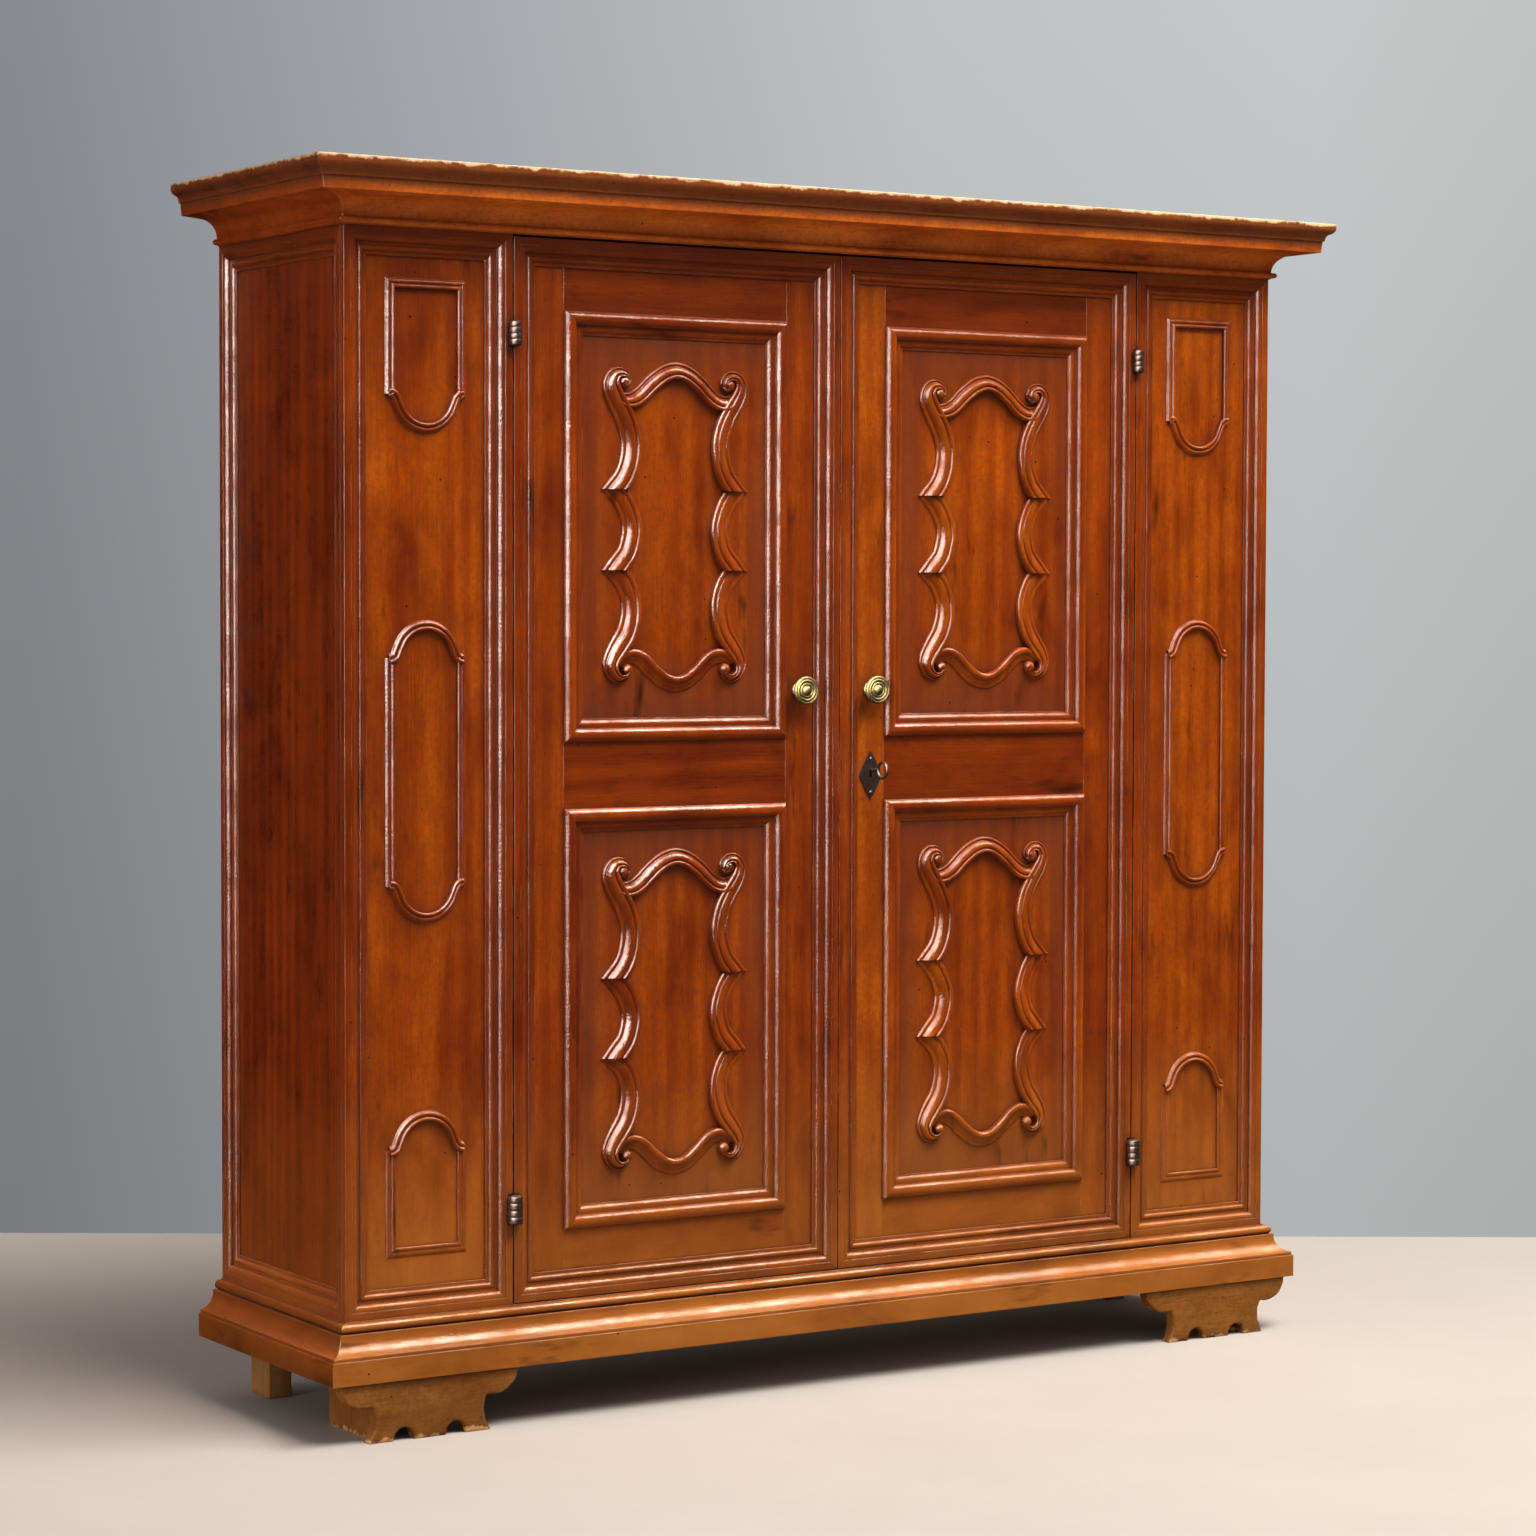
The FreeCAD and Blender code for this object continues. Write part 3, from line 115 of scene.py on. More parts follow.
def new_material(name):
    """An empty material and its node tree."""
    material = bpy.data.materials.new(name)
    material.use_nodes = True
    tree = material.node_tree
    tree.nodes.clear()
    return material, tree


print("mid walnut in linear light:", [round(share, 3) for share in linear("#944012")[:3]])

# %% [markdown]
# ## French-polished walnut
# Walnut is a brown wood with long dark growth rings and short open pores. Shellac, rubbed on in many
# thin coats, turned it red-brown and glossy. A century or more of hands, wax and dust left it blotched
# where the polish is worn, dirty in the corners and rubbed on the arrises. Shade is also painted into
# the corners and beside the mouldings, and the pale arrises are partly a painted highlight.
# Each board carries its own grain coordinates in an attribute named "wood", in metres along and across
# the grain, so the pattern can be stated in millimetres and never runs through a joint.

# %% Grain of walnut
RING_MM = 34
RING_PERIOD = 2 * math.pi / 20
RING_STRETCH = 22
RING_SHARE = 0.12
GRAIN_MM = 3.6
GRAIN_STRETCH = 30
PORE_MM = 1.7
PORE_LENGTH_MM = 26


def per_metre(size_mm):
    """How many of a pattern's cells fit in a metre."""
    return 1000 / size_mm


def grain(tree, wood, tone, stops, streak_share):
    """The colour along the grain, the streaks by themselves and the share of dark pores."""
    # Growth rings: concentric about the pith, drawn out along the board
    ring_scale = RING_PERIOD * per_metre(RING_MM)
    ring_space = add_node(tree, "Mapping", {
        "Vector": wood, "Scale": (ring_scale / RING_STRETCH, ring_scale, ring_scale)})
    rings = add_node(tree, "TexWave", {
        "Vector": ring_space.outputs[0], "Scale": 1.0, "Distortion": 5.5, "Detail": 3.0, "Detail Scale": 0.9,
        "Detail Roughness": 0.62}, wave_type="RINGS", rings_direction="X")

    # Streaks a few millimetres wide, and the short dark pores of walnut
    across = per_metre(GRAIN_MM)
    streak_space = add_node(tree, "Mapping", {
        "Vector": wood, "Scale": (across / GRAIN_STRETCH, across, across)})
    streaks = add_node(tree, "TexNoise", {
        "Vector": streak_space.outputs[0], "Scale": 1.0, "Detail": 5.0, "Roughness": 0.62, "Distortion": 0.4})
    pore_space = add_node(tree, "Mapping", {
        "Vector": wood, "Scale": (per_metre(PORE_LENGTH_MM), per_metre(PORE_MM), per_metre(PORE_MM))})
    pores = add_node(tree, "TexNoise", {"Vector": pore_space.outputs[0], "Scale": 1.0, "Detail": 1.0})
    pore_dark = add_node(tree, "MapRange", {
        "Value": pores.outputs["Fac"], "From Min": 0.56, "From Max": 0.72, "To Min": 0.0, "To Max": 0.28})

    calm = add_node(tree, "MapRange", {
        "Value": streaks.outputs["Fac"], "To Min": 0.5 - streak_share / 2, "To Max": 0.5 + streak_share / 2})
    mixed = add_node(tree, "Mix", {0: RING_SHARE, 2: calm.outputs[0], 3: rings.outputs["Fac"]})
    shifted = add_node(tree, "Math", {0: mixed.outputs[0], 1: tone}, operation="ADD")
    colour = add_node(tree, "ValToRGB", {"Fac": shifted.outputs[0]}, stops=stops)
    return colour.outputs["Color"], streaks.outputs["Fac"], pore_dark.outputs[0]


print("walnut: rings of", RING_MM, "mm, streaks of", GRAIN_MM, "mm")

# %% [markdown]
# Old polish is cloudy. It could be painted as a picture, but two noises of different size, laid over
# each other, give clouds that fit any board. A third, finer one draws the small dark islands into which
# shellac gathers with age.

# %% Clouds in the polish
MOTTLE_MM = 8
BLOTCHES_PER_METRE = (2.6, 7.5, 7.5)
CLOUDS_PER_METRE = (9, 15, 15)
CLOUD_SHARE = 0.4


def clouded(tree, wood, place, colour, pore_dark, blotch, dark_tint_and_shade, dirt_and_shade, spread):
    """The clouded and mottled surface, the blotches alone, and blotches and clouds together."""
    # Blotches of a hand's breadth, where the polish has gone darker or paler
    blotch_space = add_node(tree, "Mapping", {"Vector": wood, "Scale": BLOTCHES_PER_METRE})
    blotches = add_node(tree, "TexNoise", {
        "Vector": blotch_space.outputs[0], "Scale": 1.0, "Detail": 4.0, "Roughness": 0.55, "Distortion": 0.8})
    blotch_share = add_node(tree, "MapRange", {
        "Value": blotches.outputs["Fac"], "From Min": 0.50 - spread / 2, "From Max": 0.50 + spread / 2})
    cloud_space = add_node(tree, "Mapping", {"Vector": wood, "Scale": CLOUDS_PER_METRE})
    clouds = add_node(tree, "TexNoise", {
        "Vector": cloud_space.outputs[0], "Scale": 1.0, "Detail": 5.0, "Roughness": 0.6, "Distortion": 0.5})
    cloud_share = add_node(tree, "MapRange", {
        "Value": clouds.outputs["Fac"], "From Min": 0.32, "From Max": 0.68})
    both = add_node(tree, "Mix", {0: CLOUD_SHARE, 2: blotch_share.outputs[0], 3: cloud_share.outputs[0]})
    cloudy = add_node(tree, "Mix", {
        0: both.outputs[0], 6: linear(blotch[0]), 7: linear(blotch[1])}, data_type="RGBA")
    blended = add_node(tree, "Mix", {
        0: 1.0, 6: colour, 7: cloudy.outputs[2]}, data_type="RGBA", blend_type="MULTIPLY")
    surface = add_node(tree, "Mix", {
        0: pore_dark, 6: blended.outputs[2], 7: linear(dirt_and_shade)}, data_type="RGBA").outputs[2]

    # Old shellac draws together into small dark islands
    mottle = add_node(tree, "TexNoise", {
        "Vector": place, "Scale": per_metre(MOTTLE_MM), "Detail": 5.0, "Roughness": 0.75})
    mottle_share = add_node(tree, "MapRange", {
        "Value": mottle.outputs["Fac"], "From Min": 0.44, "From Max": 0.66, "To Min": 0.0, "To Max": 0.42})
    surface = add_node(tree, "Mix", {
        0: mottle_share.outputs[0], 6: surface, 7: linear(dark_tint_and_shade)}, data_type="RGBA").outputs[2]
    return surface, blotches.outputs["Fac"], both.outputs[0]


print("clouds of about", round(1000 / BLOTCHES_PER_METRE[1]), "mm, islands of", MOTTLE_MM, "mm")

# %% [markdown]
# A panel is lighter in the middle and darker towards its margin. How far a spot lies from the middle, as a
# share of the panel's half size, tells how dark it is.

# %% Dark margins of the panels
MARGIN_SHARE = 0.75


def dark_margins(tree, place, surface, blotches, dark_tint_and_shade, fields):
    """Darkens the surface towards the edge of each field, given by its middle and its half size."""
    spot = add_node(tree, "SeparateXYZ", {"Vector": place})
    aside = add_node(tree, "Math", {0: spot.outputs["X"]}, operation="ABSOLUTE").outputs[0]
    nearest = None
    for (x, z), (half_x, half_z) in fields:
        shares = []
        for value, centre, half in ((aside, x, half_x), (spot.outputs["Z"], z, half_z)):
            off = add_node(tree, "Math", {0: value, 1: centre}, operation="SUBTRACT").outputs[0]
            size = add_node(tree, "Math", {0: off}, operation="ABSOLUTE").outputs[0]
            shares.append(add_node(tree, "Math", {0: size, 1: half}, operation="DIVIDE").outputs[0])
        outward = add_node(tree, "Math", {0: shares[0], 1: shares[1]}, operation="MAXIMUM").outputs[0]
        if nearest is None:
            nearest = outward
        else:
            nearest = add_node(tree, "Math", {0: nearest, 1: outward}, operation="MINIMUM").outputs[0]
    uneven = add_node(tree, "Math", {0: blotches, 1: 0.5, 2: nearest}, operation="MULTIPLY_ADD")
    margin = add_node(tree, "MapRange", {
        "Value": uneven.outputs[0], "From Min": 0.78, "From Max": 1.2, "To Min": 0.0, "To Max": MARGIN_SHARE},
        interpolation_type="SMOOTHSTEP")
    return add_node(tree, "Mix", {
        0: margin.outputs[0], 6: surface, 7: linear(dark_tint_and_shade)}, data_type="RGBA").outputs[2]


print("panel margins darken by up to", MARGIN_SHARE)

# %% [markdown]
# Height tells what happened to the polish. Damp, mops and shoes took the red from the lower part, and
# the paler boards lost more than the dark ones. The upper part is painted darker towards the cornice,
# a painted shadow of the cornice. Dust dulls the cornice, and its top arris is rubbed down to bare wood.

# %% Wear and painted shadow by height
PATINA_FROM_M, PATINA_FULL_M, PATINA_SHARE = 0.60, 0.14, 0.86
PATINA_BY_TONE = 3.0
CORNICE_SHADOW_FROM_M, CORNICE_SHADOW_FULL_M = 1.72, 1.98
DUST_DEPTH_M, DUST_SHARE = 0.012, 0.74
FRAYS_PER_METRE, FRAY_M = 34, 0.022
BARE_FROM_M, BARE_FULL_M = 2.1055, 2.1095


def worn_and_shaded_by_height(tree, place, tone, surface, clouds, dark_tint_and_shade, patina_low, cornice_shadow_share, dust_above):
    """The surface with golden patina below, a painted cornice shadow above, and a dusty, rubbed cornice."""
    height = add_node(tree, "SeparateXYZ", {"Vector": place}).outputs["Z"]
    worn_low = add_node(tree, "MapRange", {
        "Value": height, "From Min": PATINA_FROM_M, "From Max": PATINA_FULL_M, "To Min": 0.0,
        "To Max": PATINA_SHARE})
    worn_here = add_node(tree, "MapRange", {"Value": clouds, "To Min": 0.4, "To Max": 1.0})
    worn_board = add_node(tree, "Math", {0: tone, 1: PATINA_BY_TONE, 2: 1.0}, operation="MULTIPLY_ADD")
    worn_both = add_node(tree, "Math", {
        0: worn_low.outputs[0], 1: worn_here.outputs[0]}, operation="MULTIPLY")
    worn_share = add_node(tree, "Math", {
        0: worn_both.outputs[0], 1: worn_board.outputs[0]}, operation="MULTIPLY", use_clamp=True)
    surface = add_node(tree, "Mix", {
        0: worn_share.outputs[0], 6: surface, 7: linear(patina_low)}, data_type="RGBA").outputs[2]
    # Painted shadow of the cornice: the colour darkens between the two heights below it
    cornice_shadow = add_node(tree, "MapRange", {
        "Value": height, "From Min": CORNICE_SHADOW_FROM_M, "From Max": CORNICE_SHADOW_FULL_M, "To Min": 0.0,
        "To Max": cornice_shadow_share})
    surface = add_node(tree, "Mix", {
        0: cornice_shadow.outputs[0], 6: surface, 7: linear(dark_tint_and_shade)}, data_type="RGBA").outputs[2]
    if dust_above:
        dusty = add_node(tree, "MapRange", {
            "Value": height, "From Min": dust_above, "From Max": dust_above + DUST_DEPTH_M, "To Min": 0.0,
            "To Max": DUST_SHARE})
        surface = add_node(tree, "Mix", {
            0: dusty.outputs[0], 6: surface, 7: linear("#4a2a1a")}, data_type="RGBA").outputs[2]

    # The top arris is rubbed down to bare pale wood along a ragged line
    frayed = add_node(tree, "TexNoise", {
        "Vector": place, "Scale": FRAYS_PER_METRE, "Detail": 4.0, "Roughness": 0.75})
    ragged = add_node(tree, "Math", {
        0: frayed.outputs["Fac"], 1: FRAY_M, 2: height}, operation="MULTIPLY_ADD")
    bare = add_node(tree, "MapRange", {
        "Value": ragged.outputs[0], "From Min": BARE_FROM_M, "From Max": BARE_FULL_M, "To Min": 0.0,
        "To Max": 0.85})
    surface = add_node(tree, "Mix", {
        0: bare.outputs[0], 6: surface, 7: linear("#d8bc94")}, data_type="RGBA").outputs[2]

    # Dust lies grey-brown on the flat top
    facing = add_node(tree, "SeparateXYZ", {"Vector": add_node(tree, "NewGeometry").outputs["Normal"]})
    upward = add_node(tree, "MapRange", {"Value": facing.outputs["Z"], "From Min": 0.9, "From Max": 0.98})
    flat_top = add_node(tree, "Math", {0: upward.outputs[0], 1: bare.outputs[0]}, operation="MULTIPLY")
    return add_node(tree, "Mix", {
        0: flat_top.outputs[0], 6: surface, 7: linear("#6e563c")}, data_type="RGBA").outputs[2]


print("patina below", PATINA_FROM_M, "m, smoke above", CORNICE_SHADOW_FROM_M, "m")

# %% [markdown]
# Spills ran along the grain and left dark stains. Beetles left round holes. Here the holes are about
# 2 mm wide, a little larger than life, so that they show.

# %% Stains and worm holes
STAINS_PER_METRE = (4.2, 17, 17)
WORM_CELL_MM = 34
WORM_HOLE_SHARE = 0.05
WORM_CELLS_EMPTY = 0.72


def spotted(tree, wood, surface, dirt_and_shade):
    """The surface with stains along the grain and a few worm holes."""
    stain_space = add_node(tree, "Mapping", {"Vector": wood, "Scale": STAINS_PER_METRE})
    stains = add_node(tree, "TexNoise", {
        "Vector": stain_space.outputs[0], "Scale": 1.0, "Detail": 3.0, "Roughness": 0.7})
    stain_share = add_node(tree, "MapRange", {
        "Value": stains.outputs["Fac"], "From Min": 0.63, "From Max": 0.77, "To Min": 0.0, "To Max": 0.85})
    surface = add_node(tree, "Mix", {
        0: stain_share.outputs[0], 6: surface, 7: linear(dirt_and_shade)}, data_type="RGBA").outputs[2]
    holes = add_node(tree, "TexVoronoi", {
        "Vector": wood, "Scale": per_metre(WORM_CELL_MM), "Randomness": 1.0})
    hole_share = add_node(tree, "MapRange", {
        "Value": holes.outputs["Distance"], "From Min": WORM_HOLE_SHARE * 1.4, "From Max": WORM_HOLE_SHARE,
        "To Min": 0.0, "To Max": 0.9})
    chance = add_node(tree, "SeparateColor", {"Color": holes.outputs["Color"]}).outputs["Red"]
    some = add_node(tree, "Math", {0: chance, 1: WORM_CELLS_EMPTY}, operation="GREATER_THAN")
    hole_some = add_node(tree, "Math", {0: hole_share.outputs[0], 1: some.outputs[0]}, operation="MULTIPLY")
    return add_node(tree, "Mix", {
        0: hole_some.outputs[0], 6: surface, 7: linear(dirt_and_shade)}, data_type="RGBA").outputs[2]


print("a worm hole in about", round((1 - WORM_CELLS_EMPTY) * 100), "of 100 cells of", WORM_CELL_MM, "mm")

# %% [markdown]
# Where the surface is shut in, ambient occlusion finds it on any shape and shade is painted there: a
# brown painted shade beside mouldings, and near black in the corners, where dirt and painted shade are
# one. Edges that stick out are painted pale, part rubbed wood and part painted highlight. They are found
# where a rounded normal leaves the flat one.

# %% Painted shade and dirt in corners, and pale arrises
SHADE_REACH_M, DIRT_AND_SHADE_REACH_M = 0.10, 0.022
DIRT_AND_SHADE_SHARE = 0.85
RUBS_PER_METRE, KNOCKS_PER_METRE = 16, 60
ARRIS_M = 0.0016


def shade_and_dirt_in_corners(tree, surface, dark_tint_and_shade, dirt_and_shade, shade_share):
    """The surface with painted shade beside mouldings, dirt and painted shade in its corners, and how open
    each spot lies.
    """
    broad = add_node(tree, "AmbientOcclusion", {"Distance": SHADE_REACH_M}, samples=4)
    shelter = add_node(tree, "AmbientOcclusion", {"Distance": DIRT_AND_SHADE_REACH_M}, samples=4)
    # Painted shade beside the mouldings: the less open a spot within a hand's breadth, the darker
    shade_fac = add_node(tree, "MapRange", {
        "Value": broad.outputs["AO"], "From Min": 0.985, "From Max": 0.60, "To Min": 0.0,
        "To Max": shade_share})
    surface = add_node(tree, "Mix", {
        0: shade_fac.outputs[0], 6: surface, 7: linear(dark_tint_and_shade)}, data_type="RGBA").outputs[2]
    # Dirt and painted shade: near black where the corners are tight
    dirt_and_shade_fac = add_node(tree, "MapRange", {
        "Value": shelter.outputs["AO"], "From Min": 0.66, "From Max": 0.22, "To Min": 0.0,
        "To Max": DIRT_AND_SHADE_SHARE})
    surface = add_node(tree, "Mix", {
        0: dirt_and_shade_fac.outputs[0], 6: surface, 7: linear(dirt_and_shade)}, data_type="RGBA").outputs[2]
    return surface, shelter.outputs["AO"]


def rubbed_and_highlit_arrises(tree, place, surface, openness, wear_and_highlight, wear_and_highlight_share):
    """The surface with pale edges, part rubbed wood and part painted highlight, the rounded normal and the
    noise of the rubbing.
    """
    rounded = add_node(tree, "Bevel", {"Radius": ARRIS_M}, samples=4)
    flat = add_node(tree, "NewGeometry")
    agree = add_node(tree, "VectorMath", {
        0: rounded.outputs["Normal"], 1: flat.outputs["Normal"]}, operation="DOT_PRODUCT")
    # Pale arrises, part rubbed wood and part painted highlight
    edge = add_node(tree, "MapRange", {
        "Value": agree.outputs["Value"], "From Min": 0.995, "From Max": 0.90, "To Min": 0.0,
        "To Max": wear_and_highlight_share})
    rub = add_node(tree, "TexNoise", {
        "Vector": place, "Scale": RUBS_PER_METRE, "Detail": 4.0, "Roughness": 0.7})
    rub_share = add_node(tree, "MapRange", {"Value": rub.outputs["Fac"], "From Min": 0.46, "From Max": 0.66})
    open_edge = add_node(tree, "MapRange", {"Value": openness, "From Min": 0.70, "From Max": 0.95})
    edge_rub = add_node(tree, "Math", {0: edge.outputs[0], 1: rub_share.outputs[0]}, operation="MULTIPLY")
    edge_open = add_node(tree, "Math", {
        0: edge_rub.outputs[0], 1: open_edge.outputs[0]}, operation="MULTIPLY")
    surface = add_node(tree, "Mix", {
        0: edge_open.outputs[0], 6: surface, 7: linear(wear_and_highlight)}, data_type="RGBA").outputs[2]
    return surface, rounded.outputs["Normal"], rub.outputs["Fac"]


def knocked(tree, place, surface, chips_below, wear_and_highlight):
    """The surface with pale knocks near the floor."""
    height = add_node(tree, "SeparateXYZ", {"Vector": place}).outputs["Z"]
    low_down = add_node(tree, "MapRange", {"Value": height, "From Min": chips_below, "From Max": 0.0})
    knocks = add_node(tree, "TexNoise", {
        "Vector": place, "Scale": KNOCKS_PER_METRE, "Detail": 4.0, "Roughness": 0.7})
    low_knocks = add_node(tree, "Math", {
        0: low_down.outputs[0], 1: knocks.outputs["Fac"]}, operation="MULTIPLY")
    chip_share = add_node(tree, "MapRange", {
        "Value": low_knocks.outputs[0], "From Min": 0.40, "From Max": 0.50, "To Min": 0.0, "To Max": 0.7})
    return add_node(tree, "Mix", {
        0: chip_share.outputs[0], 6: surface, 7: linear(wear_and_highlight)}, data_type="RGBA").outputs[2]


print("dirt gathers within", DIRT_AND_SHADE_REACH_M, "m of a corner")

# %% [markdown]
# Shellac is a clear coat over the wood. Plane and rubber left both a little wavy, and the coat is
# pitted. It is whole on open ground, thin in patches, and lost under the dirt of the grooves. Sun and
# hands dulled the right half most, and the lower panels more than the upper ones.

# %% Relief and polish
WAVES_PER_METRE = (9, 34, 34)
SPECKLE_MM = 4
WAVE_DEPTH_M, PIT_DEPTH_M, GRAIN_DEPTH_M = 0.0016, 0.0010, 0.0005
DULL_FROM_X_M, DULL_FULL_X_M, DULL_RIGHT = -0.2, 0.5, 0.45
DULL_FULL_Z_M, DULL_FROM_Z_M, DULL_LOW = 0.4, 1.2, 0.66


def relief(tree, wood, place, rounded, streaks):
    """The normal of the wood and the normal of the coat over it."""
    wave_space = add_node(tree, "Mapping", {"Vector": wood, "Scale": WAVES_PER_METRE})
    waves = add_node(tree, "TexNoise", {"Vector": wave_space.outputs[0], "Scale": 1.0, "Detail": 2.0})
    wavy = add_node(tree, "Bump", {
        "Height": waves.outputs["Fac"], "Normal": rounded, "Strength": 0.55, "Distance": WAVE_DEPTH_M})
    speckle = add_node(tree, "TexNoise", {"Vector": place, "Scale": per_metre(SPECKLE_MM), "Detail": 3.0})
    pitted = add_node(tree, "Bump", {
        "Height": speckle.outputs["Fac"], "Normal": wavy.outputs[0], "Strength": 0.9,
        "Distance": PIT_DEPTH_M})
    grained = add_node(tree, "Bump", {
        "Height": streaks, "Normal": wavy.outputs[0], "Strength": 0.2, "Distance": GRAIN_DEPTH_M})
    return grained.outputs[0], pitted.outputs[0]


def polish_left(tree, place, rub, openness, coat):
    """How much of the clear coat is left at each spot."""
    patchy = add_node(tree, "MapRange", {
        "Value": rub, "From Min": 0.36, "From Max": 0.60, "To Min": 0.3 * coat, "To Max": coat})
    clear = add_node(tree, "MapRange", {
        "Value": openness, "From Min": 0.48, "From Max": 0.88, "To Min": 0.08, "To Max": 1.0})
    whole = add_node(tree, "Math", {0: patchy.outputs[0], 1: clear.outputs[0]}, operation="MULTIPLY")
    spot = add_node(tree, "SeparateXYZ", {"Vector": place})
    kept_left = add_node(tree, "MapRange", {
        "Value": spot.outputs["X"], "From Min": DULL_FROM_X_M, "From Max": DULL_FULL_X_M, "To Min": 1.0,
        "To Max": DULL_RIGHT})
    kept_high = add_node(tree, "MapRange", {
        "Value": spot.outputs["Z"], "From Min": DULL_FULL_Z_M, "From Max": DULL_FROM_Z_M, "To Min": DULL_LOW,
        "To Max": 1.0})
    kept = add_node(tree, "Math", {0: kept_left.outputs[0], 1: kept_high.outputs[0]}, operation="MULTIPLY")
    return add_node(tree, "Math", {0: whole.outputs[0], 1: kept.outputs[0]}, operation="MULTIPLY").outputs[0]


print("the coat has pits of", SPECKLE_MM, "mm")

# %% [markdown]
# All of this together is one finish. Panels, cornice and base are the same wood and polish, and each
# gets its own numbers: panels and base were used differently, and the cornice is painted lighter, a
# painted light on its shaded cove.


# %% Walnut
def wood_finish(name, stops, blotch, dark_tint_and_shade, dirt_and_shade, wear_and_highlight, roughness, coat, patina_low=None, wear_and_highlight_share=0.6,
                spread=0.42, streak_share=0.32, shade_share=0.55, cornice_shadow_share=0.18, dust_above=None,
                chips_below=None, spots=True, fields=()):
    """A polished or bare wood: grain, clouds, dirt and painted shade in corners, pale edges that are part
    wear and part painted highlight, and what is left of its coat.
    """
    material, tree = new_material(name)
    wood = add_node(tree, "Attribute", attribute_name="wood").outputs["Vector"]
    tone = add_node(tree, "Attribute", attribute_name="tone").outputs["Fac"]
    place = add_node(tree, "TexCoord").outputs["Object"]
    colour, streaks, pore_dark = grain(tree, wood, tone, stops, streak_share)
    surface, blotches, clouds = clouded(tree, wood, place, colour, pore_dark, blotch, dark_tint_and_shade, dirt_and_shade, spread)
    if fields:
        surface = dark_margins(tree, place, surface, blotches, dark_tint_and_shade, fields)
    if patina_low:
        surface = worn_and_shaded_by_height(
            tree, place, tone, surface, clouds, dark_tint_and_shade, patina_low, cornice_shadow_share, dust_above)
    if spots:
        surface = spotted(tree, wood, surface, dirt_and_shade)
    surface, openness = shade_and_dirt_in_corners(tree, surface, dark_tint_and_shade, dirt_and_shade, shade_share)
    surface, rounded, rub = rubbed_and_highlit_arrises(tree, place, surface, openness, wear_and_highlight, wear_and_highlight_share)
    if chips_below:
        surface = knocked(tree, place, surface, chips_below, wear_and_highlight)
    wood_normal, coat_normal = relief(tree, wood, place, rounded, streaks)
    gloss = add_node(tree, "MapRange", {
        "Value": blotches, "From Min": 0.3, "From Max": 0.7, "To Min": roughness[0], "To Max": roughness[1]})
    shader = add_node(tree, "BsdfPrincipled", {
        "Base Color": surface, "Roughness": gloss.outputs[0], "Normal": wood_normal, "IOR": 1.5,
        "Specular IOR Level": 0.04, "Coat Weight": polish_left(tree, place, rub, openness, coat),
        "Coat Roughness": 0.075, "Coat IOR": 1.52, "Coat Normal": coat_normal})
    add_node(tree, "OutputMaterial", {"Surface": shader.outputs[0]})
    return material


WALNUT = dict(
    stops=[(0.22, "#5a1a00"), (0.5, "#8b3b02"), (0.78, "#b15d06")], blotch=("#96693f", "#ffffff"),
    dark_tint_and_shade="#50281a", dirt_and_shade="#1c0802", wear_and_highlight="#c89864", roughness=(0.40, 0.52), coat=1.0, patina_low="#935d26")
walnut = wood_finish("walnut_french_polished", **WALNUT)


def panel_fields():
    """The middle and half size of a door's two panels; the left door mirrors the right."""
    hinge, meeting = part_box("right_door_hinge_stile"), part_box("right_door_meeting_stile")
    rails = [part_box(f"right_door_{rail}_rail") for rail in ("bottom", "lock", "top")]
    middle_x, half_x = (meeting[1].x + hinge[0].x) / 2, (hinge[0].x - meeting[1].x) / 2
    spans = [(under[1].z, over[0].z) for under, over in zip(rails, rails[1:])]
    return [((middle_x, (foot + head) / 2), (half_x, (head - foot) / 2)) for foot, head in spans]


panel_walnut = wood_finish(
    "walnut_french_polished_panels", fields=panel_fields(), spread=0.52, streak_share=0.26, **WALNUT)
# Dust dulls the top of the cornice. It has little painted shade and no painted cornice shadow, and its
# colours are painted lighter: painted light on the cove, which lies in shade under the lamp above.
painted_light_cornice_walnut = wood_finish(
    "walnut_french_polished_cornice", shade_share=0.08, cornice_shadow_share=0.0, dust_above=2.05, **{
        **WALNUT, "stops": [(0.22, "#6e2604"), (0.5, "#a84e12"), (0.78, "#ca6c24")]})
# Shoes and mops left the base dark in patches
base_walnut = wood_finish(
    "walnut_french_polished_base", spread=0.3, **{**WALNUT, "blotch": ("#644124", "#f6efe8")})
print("finishes:", walnut.name, panel_walnut.name, painted_light_cornice_walnut.name, base_walnut.name)

# %% [markdown]
# ## Bare and worn wood
# The feet were never polished as well as the doors and have been knocked about. The inside, the back
# and the top are plain softwood from the saw and plane: pale, dry, grey-brown with age, no gloss.

# %% Worn walnut and softwood
worn_walnut = wood_finish(
    "walnut_worn_rubbed", stops=[(0.22, "#784a22"), (0.5, "#9c6830"), (0.78, "#bc8a4e")],
    blotch=("#8e7460", "#ffffff"), dark_tint_and_shade="#4a2c14", dirt_and_shade="#22120a", wear_and_highlight="#c8a070", roughness=(0.55, 0.75),
    coat=0.1, wear_and_highlight_share=0.95, chips_below=0.03)
softwood = wood_finish(
    "fir_planed_aged", stops=[(0.22, "#7c5530"), (0.5, "#a87c4c"), (0.78, "#c29a68")],
    blotch=("#c4b8aa", "#ffffff"), dark_tint_and_shade="#6a4a2c", dirt_and_shade="#3a2412", wear_and_highlight="#d9bb90", roughness=(0.62, 0.82),
    coat=0.0, wear_and_highlight_share=0.35, spots=False)
print("finishes:", worn_walnut.name, softwood.name)

